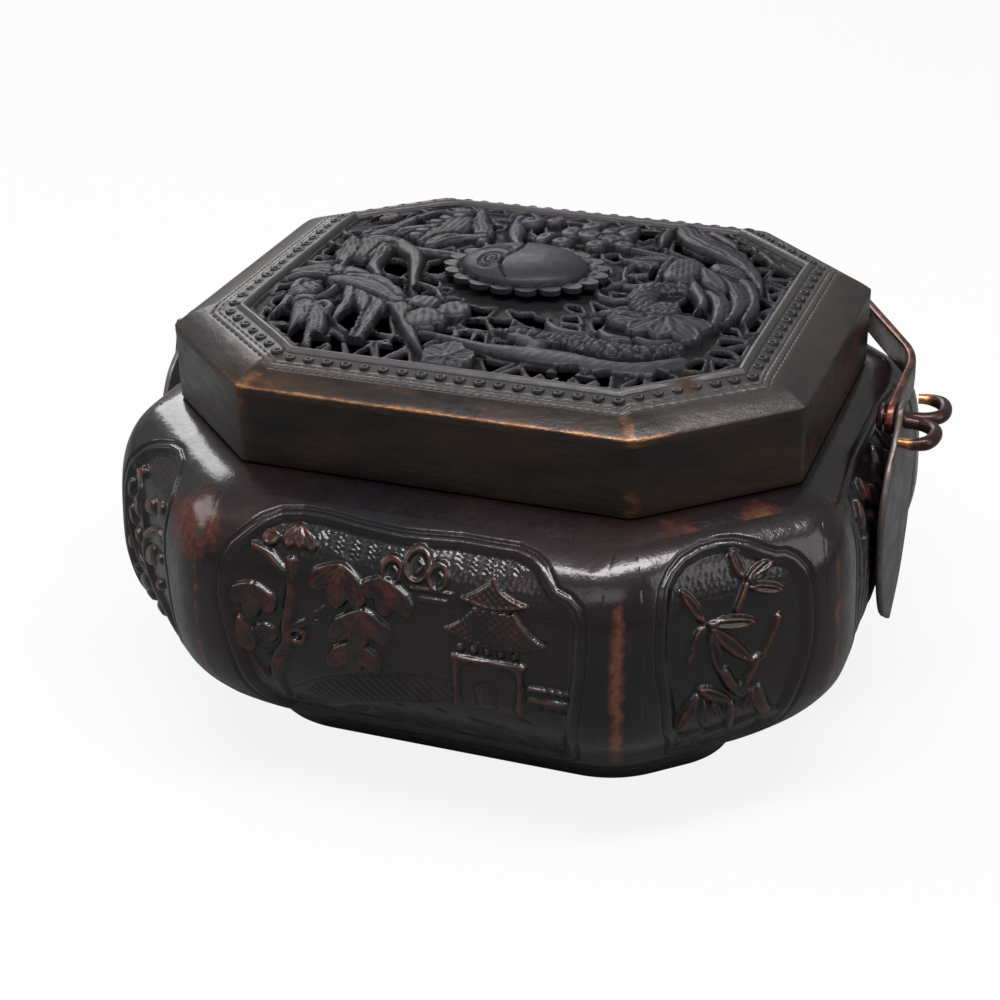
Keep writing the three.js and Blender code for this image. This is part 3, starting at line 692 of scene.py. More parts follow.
@dataclass
class PotForm:
    """The pot's outside: a rounded eight-sided plan that swells to a bulge and draws in to a neck.

    Each plan is half length, half width, corner length, corner width and corner reach.
    """

    foot: tuple = (46.0, 42.3, 15.3, 13.8, 7.0)
    bulge: tuple = (68.5, 66.0, 30.5, 29.0, 7.0)
    neck: tuple = (58.6, 49.1, 23.1, 21.3, 1.2)
    bulge_height: float = 31.4
    height: float = 55.8
    skin: float = 0.06
    samples: int = 1600

    LOWER = ((0, 0), (0.09, 0.1), (0.24, 0.2), (0.42, 0.3), (0.58, 0.4), (0.725, 0.5), (0.84, 0.6),
             (0.925, 0.7), (0.975, 0.82), (1, 1))
    UPPER = ((0.01, 0.2), (0.04, 0.42), (0.1, 0.6), (0.2, 0.74), (0.36, 0.86), (0.58, 0.945),
             (0.8, 0.985), (1, 1))

    def __post_init__(self) -> None:
        """Work out the smooth side curve: reach and height from foot to neck."""
        foot, bulge, neck = self.foot[0], self.bulge[0], self.neck[0]
        low, rest = self.bulge_height, self.height - self.bulge_height
        points = [(foot + (bulge - foot) * a, low * b) for a, b in self.LOWER]
        points += [(bulge + (neck - bulge) * a, low + rest * b) for a, b in self.UPPER]
        line = np.array(points)
        steps = arc_lengths(line)
        slope = np.gradient(line, steps, axis=0)
        slope[len(self.LOWER) - 1] = (0, 1)
        curve = through(line, np.linspace(0, steps[-1], self.samples), slope)
        reach, height = np.minimum(curve[:, 0], self.bulge[0]), np.clip(curve[:, 1], 0, self.height)
        self.curve = np.stack([reach, height], 1)

    def plan(self, reach: Array, height: Array) -> tuple[Array, ...]:
        """Plan sizes at a reach on the side curve.

        Args:
            reach: half length.
            height: height above the table.

        Returns:
            Half length, half width, corner length, corner width and corner reach.
        """
        reach = np.asarray(reach, float)
        end = np.where((height <= self.bulge_height)[..., None], np.array(self.foot),
                       np.array(self.neck))
        bulge = np.array(self.bulge)
        t = ((reach - end[..., 0]) / (bulge[0] - end[..., 0]))[..., None]
        size = end + (bulge - end) * t
        slim = (end[..., 0] - end[..., 1]) * (1 - t[..., 0]) + (bulge[0] - bulge[1]) * t[..., 0]
        return reach, reach - slim, size[..., 2], size[..., 3], size[..., 4]

    def arc_on(self, side: int) -> Array:
        """Distance up the middle of one side, at each point of the side curve."""
        height = self.curve[:, 1]
        middle, _ = on_side(side, np.zeros(len(height)), self.plan(self.curve[:, 0], height))
        return arc_lengths(np.c_[middle, height])


def on_side(side: int, u: Array, plan: tuple[Array, ...]) -> tuple[Array, Array]:
    """Place on one side of a rounded eight-sided plan.

    Args:
        side: the side's number.
        u: distance along the side from its middle.
        plan: half length, half width, corner length, corner width and corner reach.

    Returns:
        Plan position, and the greatest u on this side.
    """
    half_length, half_width, cx, cy, reach = plan
    corners = octagon(half_length, half_width, cx, cy)
    start, end = corners[side], corners[(side + 1) % 8]
    length = np.linalg.norm(end - start, axis=-1)
    way = (end - start) / length[..., None]
    out = np.stack([way[..., 1], -way[..., 0]], -1)
    slant = np.hypot(cx, cy)
    at_end, at_front = cy / slant, cx / slant
    low = at_end if side % 4 < 2 else at_front
    high = at_front if side % 4 in (1, 2) else at_end
    turn = np.where(u < 0, low, high)
    limit = length / 2 - reach * (1 - turn) / 4
    past = np.clip((np.abs(u) - (length / 2 - reach)) / reach, 0, 0.999 / (1 - turn))
    tau = (1 - np.sqrt(1 - (1 - turn) * past)) / (1 - turn)
    inward = reach * np.sqrt(1 - turn**2) * tau**2
    place = (start + end) / 2 + way * u[..., None] - out * inward[..., None]
    return place, limit


def around_plan(
        plan: tuple[Array, ...], columns: tuple[int, int, int]) -> tuple[Array, Array, Array]:
    """Rows of places all round a plan that may change from row to row.

    Args:
        plan: plan sizes, one value for each row.
        columns: places on an end, a slanted side and a long side.

    Returns:
        Positions by row and column, side number by column, and distance from the nearest corner.
    """
    rows = len(np.atleast_1d(plan[0]))
    sizes = tuple(np.broadcast_to(np.atleast_1d(v), (rows,))[:, None] for v in plan)
    places, sides, gaps = [], [], []
    for side in range(8):
        count = columns[(0, 1, 2, 1)[side % 4]]
        share = (np.arange(count) / count * 2 - 1)[None] + np.zeros((rows, 1))
        full = tuple(np.broadcast_to(v, share.shape) for v in sizes)
        limit = on_side(side, share, full)[1]
        place, _ = on_side(side, share * limit, full)
        places.append(place)
        sides.append(np.full(count, side))
        gaps.append(limit * (1 - np.abs(share)))
    return np.concatenate(places, 1), np.concatenate(sides), np.concatenate(gaps, 1)


# Pot


@dataclass
class Panel:
    """A sunk, framed and carved panel on one side of the pot."""

    name: str
    side: Side
    frame: list
    box: tuple[float, float, float, float]
    step: float
    ground: float = 1.05

    def carve(self, relief: Relief) -> None:
        """Raise the panel's own picture. Each kind of panel has its own."""

    def surface(self, form: PotForm, u: Array, s: Array) -> Array:
        """Places on the pot's smooth outside, at the side's own two coordinates."""
        arc = form.arc_on(self.side.value)
        reach, height = np.interp(s, arc, form.curve[:, 0]), np.interp(s, arc, form.curve[:, 1])
        place, _ = on_side(self.side.value, u, form.plan(reach, height))
        return np.concatenate([place, height[..., None]], -1)

    def build(self, form: PotForm) -> bpy.types.Object:
        """Build the panel as a thin closed solid let into the pot's wall.

        Args:
            form: the pot's outside.

        Returns:
            The panel's object.
        """
        u0, u1, s0, s1 = self.box
        columns, rows = int((u1 - u0) / self.step) + 1, int((s1 - s0) / self.step) + 1
        u, s = np.meshgrid(np.linspace(u0, u1, columns), np.linspace(s0, s1, rows))
        relief = Relief(u, s)
        self.frame_in(relief)
        edge = np.minimum.reduce([u - u0, u1 - u, s - s0, s1 - s])
        sunk_rim = 0.04 * (1 - smooth(edge, 0.0, 1.2))
        relief.height = relief.height * smooth(edge, 0.2, 1.2) + 0.015 - sunk_rim
        # Painted shade: the low places of the carving darken in colour
        crevice, wear = relief.hollows(max(2, int(0.9 / self.step)), 0.38, 0.4)
        top = self.surface(form, u, s)
        normal = normals_of(top)
        lift = relief.height - form.skin - 0.06 * (1 + ripple(top))
        raised = top + normal * lift[..., None]
        back = top[:, [0, -1]] - normal[:, [0, -1]] * (self.ground + 0.65)
        points = np.concatenate([raised.reshape(-1, 3), back.reshape(-1, 3)])
        first = rows * columns
        low, high = first + 2 * np.arange(rows), first + 2 * np.arange(rows) + 1
        left, right = np.arange(rows) * columns, np.arange(rows) * columns + columns - 1
        quads = [grid_faces(rows, columns),
                 np.stack([low[:-1], left[:-1], left[1:], low[1:]], 1),
                 np.stack([right[:-1], high[:-1], high[1:], right[1:]], 1),
                 np.stack([high[:-1], low[:-1], low[1:], high[1:]], 1)]
        bottom = np.r_[np.arange(columns)[::-1], low[0], high[0]][None]
        ceiling = np.r_[(rows - 1) * columns + np.arange(columns), high[-1], low[-1]][None]
        pad = np.zeros(2 * rows)
        high = smooth(relief.height, -self.ground + 0.3, -0.15) * smooth(relief.cover, 0.0, 0.4)
        rust = np.maximum(PatinaMap.rust(raised), 0.47 * high)
        marks = {"crevice": np.r_[crevice.ravel(), pad],
                 "wear": np.r_[np.clip(wear * 0.5 + high * 0.16, 0, 1).ravel(), pad],
                 "rust": np.r_[rust.ravel(), pad],
                 "verdigris": np.r_[PatinaMap.verdigris(raised).ravel(), pad]}
        return make_piece(self.name, points, [np.concatenate(quads), bottom, ceiling], marks)

    def frame_in(self, relief: Relief) -> None:
        """Sink the ground inside the frame, leave the frame's ridge, and carve the picture."""
        outline = relief.shape(self.frame)
        d = np.full(relief.x.shape, -9.0)
        d[outline.spot] = outline.inside
        picture = Relief(relief.x, relief.y, 0.0)
        picture.height[:] = 0.07 * np.abs(ripple_flat(relief.x, relief.y, (2.3, 1.3, 0.8)))
        self.carve(picture)
        inner = smooth(d, 1.7, 2.5)
        relief.height = -0.5 * peak(d, 0.28) - 0.4 * peak(d - 1.75, 0.26)
        relief.height += inner * (picture.height - self.ground)
        relief.cover = np.where(inner > 0.5, picture.cover, -5)


class PatinaMap:
    """Where the pot shows bare copper, red oxide and verdigris, by place on its outside."""

    @staticmethod
    def spot(points: Array, centre: tuple, radii: tuple) -> Array:
        """A soft round patch of given half sizes."""
        away = (points - np.array(centre)) / np.array(radii)
        return np.exp(-(away**2).sum(-1))

    @staticmethod
    def rust(points: Array) -> Array:
        """Red oxide over the left front corner."""
        return PatinaMap.spot(points, (-39, -58.5, 48.6), (8, 9, 5)) * 1.05

    @staticmethod
    def verdigris(points: Array) -> Array:
        """Green in the middle of the red patch."""
        return PatinaMap.spot(points, (-36.5, -59.5, 48.4), (3.2, 4, 2.2)) * 0.9


class FrontPanel(Panel):
    """Tree, pagoda and hill on the front and the back."""

    def carve(self, relief: Relief) -> None:
        """Raise the tree, its leaf clusters, the clouds, the pagoda, the fence and the hill."""
        self.hill(relief)
        self.pagoda(relief)
        self.clouds(relief)
        self.tree(relief)

    @staticmethod
    def cluster(relief: Relief, root: tuple, tips: list, width: float, level: float = 0.95) -> None:
        """A fan of rounded leaves with raised rims and fine veins."""
        for tip in tips:
            form = relief.leaf(root, tip, width)
            relief.raise_form(form, level, bevel=0.7, crown=0.3, rim=0.22)
            relief.comb(form, form.across, 0.8, 0.12, 0.9)

    def tree(self, relief: Relief) -> None:
        """Trunk with its knot, branches and leaf clusters."""
        trunk = relief.line([(-23.2, 26), (-22.9, 31), (-23, 35), (-21.6, 39), (-20.3, 42),
                             (-20.4, 45), (-19.5, 49), (-19.2, 53), (-19.6, 57)],
                            (1.6, 2.2, 2.6, 3.4, 2.6, 2.2, 2.6, 2.4, 1.8), 0.95)
        relief.comb(trunk, trunk.across + 0.2 * np.sin(trunk.along), 1.1, 0.12)
        for k in range(4):
            relief.groove([(-21.9 + 0.4 * k, 39.1 + 0.75 * k), (-20.3 + 0.4 * k, 38.5 + 0.75 * k)],
                          0.3, 0.25)
        relief.line([(-18.9, 44.6), (-16.8, 46.2), (-14.6, 46.9)], (2.2, 1.6, 0.8), 0.7)
        relief.line([(-17, 46), (-15, 48), (-13.2, 49.8)], (1.4, 0.7), 0.6)
        relief.raise_form(relief.oval((-18.4, 43.4), (1.9, 1.7)), 0.95)
        relief.lower(relief.oval((-18.3, 43.5), (1.2, 1.0)), 1.0, 0.5)
        relief.line([(-25, 33.5), (-26.3, 36), (-27.6, 38.6)], (1.3, 0.7), 0.7)
        relief.line([(-23.4, 35.6), (-23.9, 37.6), (-24.3, 39.4)], (1.2, 0.7), 0.7)
        relief.line([(-26.6, 58.8), (-24.4, 58), (-22.4, 56.4), (-20.6, 55)], (1.6, 2.2, 1.6), 0.9)
        self.cluster(relief, (-19.4, 64.2), [(-15.5, 59.5), (-20.6, 59.3)], 3.4)
        self.cluster(relief, (-19.2, 64.4), [(-18.1, 59.2)], 2.6)
        relief.raise_form(relief.oval((-23.6, 60.6), (2.0, 1.6), 30), 0.8, rim=0.2)
        self.cluster(relief, (-10.2, 58.2), [(-15.6, 53.2), (-6.4, 51.0), (-11.1, 50.1)], 4.6)
        self.cluster(relief, (-2.6, 57.0), [(-6.0, 53.2), (2.2, 50.8), (-2.3, 50.0)], 4.2)
        self.cluster(relief, (-6.2, 50.8), [(-12.2, 43.9), (-1.7, 44.8), (-7.5, 42.8)], 4.6)
        self.cluster(relief, (-7.6, 44.6), [(-12.7, 38.9), (-3.5, 39.2), (-8.3, 38.1)], 4.0)
        self.cluster(relief, (-26.2, 52.2), [(-30.4, 48.2), (-22.5, 47.3), (-26.9, 45.3)], 4.2)
        self.cluster(relief, (-29.3, 45.6), [(-27.0, 38.9)], 4.6)
        relief.raise_form(relief.oval((-24.1, 43.1), (2.5, 1.8), -15), 0.75, crown=0.2, rim=0.2)

    @staticmethod
    def clouds(relief: Relief) -> None:
        """Three curled clouds over two straight lines, and the patterned sky."""
        for centre, radii, level in (((-1.6, 58.4), (2.2, 2.9), 0.8),
                                     ((2.6, 60.2), (2.6, 3.6), 0.85),
                                     ((6.4, 58.6), (2.1, 2.9), 0.75)):
            relief.raise_form(relief.oval(centre, radii), level, bevel=0.5)
            x, s = centre
            hollow = relief.oval((x + 0.1, s - 0.5), (radii[0] - 0.8, radii[1] - 0.9))
            relief.lower(hollow, level, 0.35)
            relief.line([(x + 0.2, s - 1.8), (x + 0.9, s - 0.4), (x + 0.1, s + 0.6)], 0.6, 0.5)
        relief.line([(2.2, 55.7), (5.5, 55.9), (9.0, 55.8)], 0.8, 0.5)
        relief.line([(3.6, 54.2), (8.2, 54.3)], 0.7, 0.4)
        sky = relief.shape([(-15, 63.5), (-4, 62.6), (-4.5, 60), (-9, 58.5), (-14, 61)])
        relief.comb(sky, relief.y[sky.spot] + 0.5 * np.sin(relief.x[sky.spot] * 2.2), 0.95, 0.22)
        sky = relief.shape([(9, 63.8), (18, 63.6), (21, 61), (17, 60.5), (12, 59.8), (9, 60.5)])
        relief.comb(sky, relief.y[sky.spot] + 0.4 * np.sin(relief.x[sky.spot] * 2.6), 0.9, 0.2)
        screen = relief.shape([(24.5, 50), (29.5, 52), (30, 38), (24.5, 41.5)])
        relief.hatch(screen, 45, 0.95, 0.12)
        relief.hatch(screen, -45, 0.95, 0.12)

    @staticmethod
    def pagoda(relief: Relief) -> None:
        """Two tiled roofs, brackets, walls with a door, and a fence."""
        relief.raise_form(relief.shape([(9.6, 35.8), (21.8, 35.8), (22.0, 45.4), (9.7, 45.4)]), 0.6,
                          bevel=0.4)
        for x in (10.2, 21.2):
            relief.line([(x, 36), (x + 0.1, 45)], 1.3, 0.95)
        relief.line([(9.8, 44.9), (15.5, 44.6), (21.9, 44.9)], 1.2, 0.95)
        relief.groove([(11.2, 36), (11.3, 43.3), (20.2, 43.3), (20.1, 36)], 0.5, 0.4)
        relief.groove([(13.9, 36), (13.9, 40.7), (17.2, 40.7), (17.2, 36)], 0.45, 0.4)
        relief.raise_form(relief.shape([(14.4, 36), (14.4, 40.2), (16.7, 40.2), (16.7, 36)]), 0.75,
                          bevel=0.3)
        for k in range(5):
            relief.raise_form(relief.oval((10.9 + 2.35 * k, 46.6), (0.75, 0.75)), 0.7)
        roof = relief.raise_form(relief.shape([(13.1, 54.6), (19.7, 54.1), (21.4, 52.0),
                                               (23.0, 50.6), (25.2, 49.2), (21.2, 48.1),
                                               (17.2, 47.6), (12.6, 48.4), (8.4, 49.9),
                                               (10.6, 51.4), (12.2, 53.2)]), 0.8, bevel=0.5)
        for turn in (42, -42):
            relief.hatch(roof, turn, 0.95, 0.16)
        relief.line([(19.9, 54.1), (21.3, 52.2), (23.0, 50.6), (25.2, 49.2)], 0.7, 1.0)
        relief.line([(8.4, 49.9), (12.6, 48.4), (17.2, 47.7), (21.2, 48.2), (25.0, 49.2)], 0.6,
                    0.95)
        roof = relief.raise_form(relief.shape([(15.8, 60.0), (16.6, 58.4), (18.6, 56.8),
                                               (21.7, 55.7), (19, 54.9), (16.1, 54.5), (13.4, 55.0),
                                               (11.0, 55.7), (13.2, 57.2), (15.0, 58.8)]), 0.85,
                                 bevel=0.5)
        for turn in (42, -42):
            relief.hatch(roof, turn, 0.9, 0.16)
        relief.line([(16.0, 59.8), (17.2, 57.6), (19.2, 56.4), (21.7, 55.7)], 0.7, 1.02)
        relief.line([(11.0, 55.7), (13.4, 55.0), (16.1, 54.6), (19.0, 55.0), (21.6, 55.7)], 0.7,
                    1.0)
        relief.line([(15.5, 62.2), (15.8, 60.6), (16.1, 58.8)], (0.4, 0.8), 0.8)
        for s in (41.1, 39.0):
            relief.line([(22.6, s), (29.2, s + 0.1)], 1.0, 0.7)
        for k in range(3):
            relief.lower(relief.oval((24.7 + 1.9 * k, 37.4), (0.75, 0.65)), 0.5, 0.3)

    @staticmethod
    def hill(relief: Relief) -> None:
        """A ploughed hill with a bank line under it, and water."""
        slope = relief.raise_form(relief.shape([(-14.6, 26.0), (-18.5, 30.5), (-15.6, 34.2),
                                                (-9, 36.6), (-2.2, 38.4), (3.9, 39.4), (9.6, 39.5),
                                                (10, 35.6), (3.3, 34), (-2.2, 32.9), (-7.2, 31),
                                                (-11.1, 28.7)]), 0.35, bevel=0.8)
        relief.hatch(slope, -48, 1.35, 0.3)
        relief.groove([(-20.8, 31), (-15.6, 34.8), (-8.9, 37.2), (-2.2, 38.9), (3.9, 39.9),
                       (9.4, 39.9)], 0.6, 0.2)
        relief.line([(-15.4, 24.6), (-11.1, 28.3), (-7.2, 30.7), (-2.2, 32.6), (3.3, 33.7),
                     (10, 35.3), (15.6, 35.8), (22, 35.4)], (1.6, 1.2, 0.8), 0.6)
        for spot, size in (((-8.3, 26.8), (1.3, 0.8)), ((-1, 31.2), (1.2, 0.5)),
                           ((21.5, 33.6), (1.8, 0.35)), ((12.8, 30.9), (1.8, 0.6)),
                           ((6.7, 32.2), (1.4, 0.4)), ((-21, 25), (0.9, 2.4))):
            relief.lower(relief.oval(spot, size, -20), 0.5, 0.3)
        relief.line([(14, 30), (17, 29.6), (19.6, 27.8), (20.4, 25)], 0.9, 0.4)
        for k in range(7):
            x, s = -16 + 6 * k, 21 + 2.2 * math.sin(k * 1.9)
            relief.line([(x, s), (x + 2.2, s + 1.2), (x + 4.6, s + 0.1)], (0.4, 0.9, 0.4), 0.35)


class BambooPanel(Panel):
    """Bamboo over rocks on the right front and the left back."""

    def carve(self, relief: Relief) -> None:
        """Raise stems, joints, leaves and rocks."""
        for line, width in (([(8.6, 48.8), (7.2, 45.4), (5.6, 42.2)], 1.3),
                            ([(4.6, 41.4), (3.6, 39.4), (2.4, 37.4)], 1.5),
                            ([(-1.2, 40.8), (0.2, 38.2), (2.4, 35.9)], 2.3),
                            ([(5.2, 35.4), (6.2, 32.6), (7.7, 29.4)], 2.8),
                            ([(2.6, 55.8), (1.8, 54), (0.8, 52)], 1.2),
                            ([(0.5, 33.5), (1.2, 29), (2.2, 24)], 1.8)):
            relief.line(line, width, 0.95)
        relief.raise_form(relief.oval((4.4, 41.9), (1.3, 0.9), 30), 1.0)
        relief.groove([(3.4, 41.5), (5.4, 42.4)], 0.35, 0.4)
        for base, tip, width in (((-5, 50.8), (-9.3, 57.6), 1.9), ((-5, 50.8), (-7.6, 46.6), 1.9),
                                 ((-5, 50.6), (-8.2, 44.2), 1.2), ((-4.6, 50.6), (4.6, 49.0), 2.3),
                                 ((-4.4, 50.2), (4.0, 41.6), 2.6),
                                 ((-4.2, 49.4), (-1.8, 40.4), 2.2), ((0.2, 62.8), (2.0, 57.0), 2.3),
                                 ((2.4, 56.4), (8.4, 59.6), 2.2), ((2.8, 55.4), (9.6, 53.4), 1.9),
                                 ((2.6, 56.2), (6.6, 57.4), 1.3), ((-6.2, 39.2), (0.2, 34.9), 2.3),
                                 ((-6.0, 38.2), (-9.4, 30.6), 2.2),
                                 ((-6.4, 36.6), (-8.0, 33.0), 1.6),
                                 ((-4.8, 36.4), (-4.2, 29.6), 1.6), ((-3.4, 36), (-0.8, 31.2), 1.7),
                                 ((4.2, 36.4), (3.0, 31.8), 1.7)):
            leaf = relief.leaf(base, tip, width, Edge.POINTED)
            self.vein(relief, relief.raise_form(leaf, 0.95, bevel=0.45, rim=0.18))
        for k, (spot, size) in enumerate((((-6, 26), (3.4, 2.4)), ((-1, 24.6), (3.6, 2.6)),
                                          ((4.4, 25.6), (3.2, 2.6)), ((8.6, 27.8), (2.2, 2.6)),
                                          ((1.4, 20.8), (4.8, 2.4)), ((-4.6, 20), (4, 2.2)))):
            rock = relief.raise_form(relief.oval(spot, size, 20 * k), 0.8, bevel=1.1)
            relief.comb(rock, rock.along * min(size), 0.9, 0.14)

    @staticmethod
    def vein(relief: Relief, leaf: Form) -> None:
        """Hollow a leaf along its middle."""
        ends = smooth(leaf.along, 0.1, 0.3) * (1 - smooth(leaf.along, 0.75, 0.95))
        relief.height[leaf.spot] -= 0.45 * peak(leaf.across, 0.32) * ends


class PlumPanel(Panel):
    """A plum branch with buds on the left front and the right back."""

    def carve(self, relief: Relief) -> None:
        """Raise the branch, its twigs, buds and blossoms."""
        relief.line([(6.5, 30), (2, 34), (-3, 37), (-6, 42), (-5, 47), (-8, 53), (-12, 57)],
                    (3.2, 2.6, 2.2, 1.6, 1.0), 0.9)
        relief.line([(-5, 46), (-1, 49), (3.6, 50), (5, 49)], (1.6, 1.0), 0.8)
        relief.line([(-4, 38), (-9, 38.6), (-13, 42), (-15, 46)], (1.8, 1.0), 0.8)
        for spot, size, turn in (((-8.5, 50.6), (1.7, 2.9), -10), ((-13, 51.8), (1.2, 2.2), -15),
                                 ((-2, 53.2), (3.0, 1.8), 25), ((-8.3, 57), (1.3, 1.5), 0),
                                 ((-2.2, 43.2), (3.6, 1.9), 40), ((-12, 47), (1.5, 2.2), 15),
                                 ((-14, 40.5), (2.0, 1.5), 30), ((3.4, 55), (2.0, 1.4), 20),
                                 ((-9, 44), (1.8, 1.3), -30), ((-10, 33.5), (3.4, 1.9), 30),
                                 ((-3, 31), (3.0, 1.8), 50), ((1.6, 39), (1.8, 1.2), 30),
                                 ((-13.8, 34.6), (1.7, 1.2), 10), ((-12, 29), (3.0, 1.7), 25),
                                 ((3.4, 45.2), (1.5, 1.1), 0)):
            bud = relief.raise_form(relief.oval(spot, size, turn), 1.0, bevel=1.1)
            relief.comb(bud, bud.along * min(size), 1.4, 0.08)
        sky = relief.oval((-3, 60), (6, 3))
        relief.comb(sky, relief.y[sky.spot], 0.9, 0.15)


class EndPanel(Panel):
    """Rocks and vines on an end of the pot, behind its plate."""

    def carve(self, relief: Relief) -> None:
        """Raise leaning rocks with deep clefts, and a vine over them."""
        for k in range(13):
            u = -21 + 3.5 * k + 0.6 * math.sin(2.3 * k)
            s = 30 + 5 * math.sin(1.7 * k)
            spine = [(u, s - 8), (u - 1.4, s + 4), (u + 0.6 + 0.9 * math.sin(k), s + 17),
                     (u - 1, s + 27)]
            rock = relief.line(spine, (4.2, 3.6, 3.0, 1.6), 0.75 + 0.15 * math.sin(3 * k))
            relief.comb(rock, rock.across + 0.3 * np.sin(rock.along * 0.9), 1.15, 0.2)
        for k in range(9):
            u, s = -19 + 4.8 * k, 57 + 2.2 * math.sin(2.1 * k)
            leaf = relief.leaf((u, s + 3), (u + 2.4 * math.sin(k), s - 3), 3.4)
            relief.raise_form(leaf, 0.95, bevel=0.7, rim=0.2)
            relief.raise_form(relief.oval((u + 2, s - 6), (1.5, 1.2)), 0.9)


@dataclass
class Pot:
    """The pot: shell with its sunk places, eight panels, base and collar."""

    form: PotForm
    wall: float = 2.0
    recess: float = 1.5
    spacing: float = 0.75
    foot_width: float = 1.5
    foot_recess: float = 2.6
    lip: float = 3.4

    def panels(self) -> list[Panel]:
        """The eight carved panels, each with its frame, its extent and its grid step."""
        front = [(-23.3, 66), (-26.1, 64), (-28.6, 61.2), (-30.8, 58.7), (-32.2, 56.2),
                 (-32.9, 52.9), (-33.1, 49), (-32.2, 44), (-31.1, 38.5), (-29.6, 31), (-28, 22),
                 (-26, 17), (0, 15.5), (26, 17), (28.6, 21), (30.1, 27.9), (30.8, 34), (31.7, 39.6),
                 (32.2, 45.1), (32.4, 50.1), (32.2, 54.6), (31.1, 57.3), (29.2, 59), (26.9, 59.8),
                 (25.6, 61.5), (24.2, 63.5), (22.2, 65.1), (18.9, 66.1), (14.4, 66.1), (8.9, 66.2),
                 (3.3, 65.7), (-1.1, 65.4), (-5.6, 65.7), (-10, 66.1), (-15, 66.8), (-19.4, 66.8)]
        right = [(-13.9, 52), (-13.5, 55.6), (-13, 58.6), (-11.3, 61.3), (-9, 63.3), (-5.5, 64.6),
                 (-2, 64.8), (1, 64.3), (4, 62.9), (6.5, 61.3), (8.2, 60.4), (10, 60.1), (12, 58.8),
                 (13.8, 56.6), (14.8, 53.6), (15.3, 49.1), (15.4, 44.1), (14.8, 40.1), (13.8, 36.1),
                 (12.8, 31.1), (12, 25), (9.5, 19.5), (0, 17), (-7.5, 19), (-9.5, 24.6),
                 (-10.3, 28), (-12, 32), (-12.5, 36.1), (-13.1, 40.1), (-13.8, 44), (-14, 48)]
        left = [(-16, 52), (-14.5, 56.6), (-12.5, 58.8), (-10.3, 61.3), (-7, 63.6), (-3, 65.6),
                (0.5, 66.2), (4, 65.3), (6.4, 63), (7.9, 59.6), (8.3, 56), (7.9, 52), (8.2, 48),
                (9.3, 44), (10.8, 38), (12, 34), (9, 29), (2, 25), (-5, 22.5), (-13, 22), (-16, 25),
                (-16.6, 32), (-17, 42)]
        ends = [(-23, 63), (-10, 64.3), (10, 64.3), (23, 63), (26, 58), (27.5, 48), (27, 36),
                (24, 25), (20, 20.5), (-20, 20.5), (-24, 25), (-27, 36), (-27.5, 48), (-26, 58)]
        wide, slim = (-35.6, 34.9, 12.5, 69.3), (-16.8, 17.9, 14.5, 67.4)
        level, tall = (-30, 30, 18, 66.8), (-19.6, 14.6, 19.5, 68.8)
        return [
            FrontPanel("pot_panel_front", Side.FRONT, front, wide, 0.25),
            BambooPanel("pot_panel_right_front", Side.RIGHT_FRONT, right, slim, 0.25),
            PlumPanel("pot_panel_left_front", Side.LEFT_FRONT, left, tall, 0.28),
            EndPanel("pot_panel_right", Side.RIGHT_END, ends, level, 0.32),
            EndPanel("pot_panel_left", Side.LEFT_END, ends, level, 0.36),
            FrontPanel("pot_panel_back", Side.BACK, front, wide, 0.34),
            PlumPanel("pot_panel_right_back", Side.RIGHT_BACK, left, tall, 0.34),
            BambooPanel("pot_panel_left_back", Side.LEFT_BACK, right, slim, 0.34),
        ]

    def shell(self, panels: list[Panel]) -> bpy.types.Object:
        """Build the shell: outside with sunk places under the panels, lip, inside and foot.

        Args:
            panels: what is let into it.

        Returns:
            The shell's object.
        """
        columns = tuple(int(v / self.spacing) for v in (74, 42, 76))
        curve = self.form.curve
        arc = arc_lengths(curve)
        rows = int(arc[-1] / (self.spacing * 0.9))
        at = np.linspace(0, arc[-1], rows)
        reach, height = np.interp(at, arc, curve[:, 0]), np.interp(at, arc, curve[:, 1])
        plan = self.form.plan(reach, height)
        flat, sides, gap = around_plan(plan, columns)
        level = np.broadcast_to(height[:, None, None], (*flat.shape[:2], 1))
        outside = np.concatenate([flat, level], -1)
        looped = np.concatenate([outside[:, -1:], outside, outside[:, :1]], 1)
        normal = normals_of(looped)[:, 1:-1]
        sink = self.form.skin + 0.06 * (1 + ripple(outside))
        for panel in panels:
            deeper = np.maximum(sink, self.pocket(panel, outside))
            sink = np.where((sides == panel.side.value)[None], deeper, sink)
        top = self.form.height
        fade = smooth(height, 0, 1.2) * (1 - smooth(height, top - 0.5, top))
        placed = outside - normal * (sink * fade[:, None])[..., None]
        inside = self.inside_rows(columns)
        points = np.concatenate([placed, inside])
        total = len(points)
        wear = np.zeros(points.shape[:2])
        wear[:rows] = self.ridge_wear(outside, gap)
        # The inside rows get painted shade, a fixed crevice value of 0.35
        marks = {"wear": wear, "rust": PatinaMap.rust(points),
                 "verdigris": PatinaMap.verdigris(points),
                 "crevice": np.where(np.arange(total)[:, None] >= rows + 2, 0.35, 0.0) + 0 * wear}
        faces = grid_faces(total, points.shape[1], around=True, closed_rows=True)
        return make_piece("pot_shell", points.reshape(-1, 3), [faces], marks, 50)

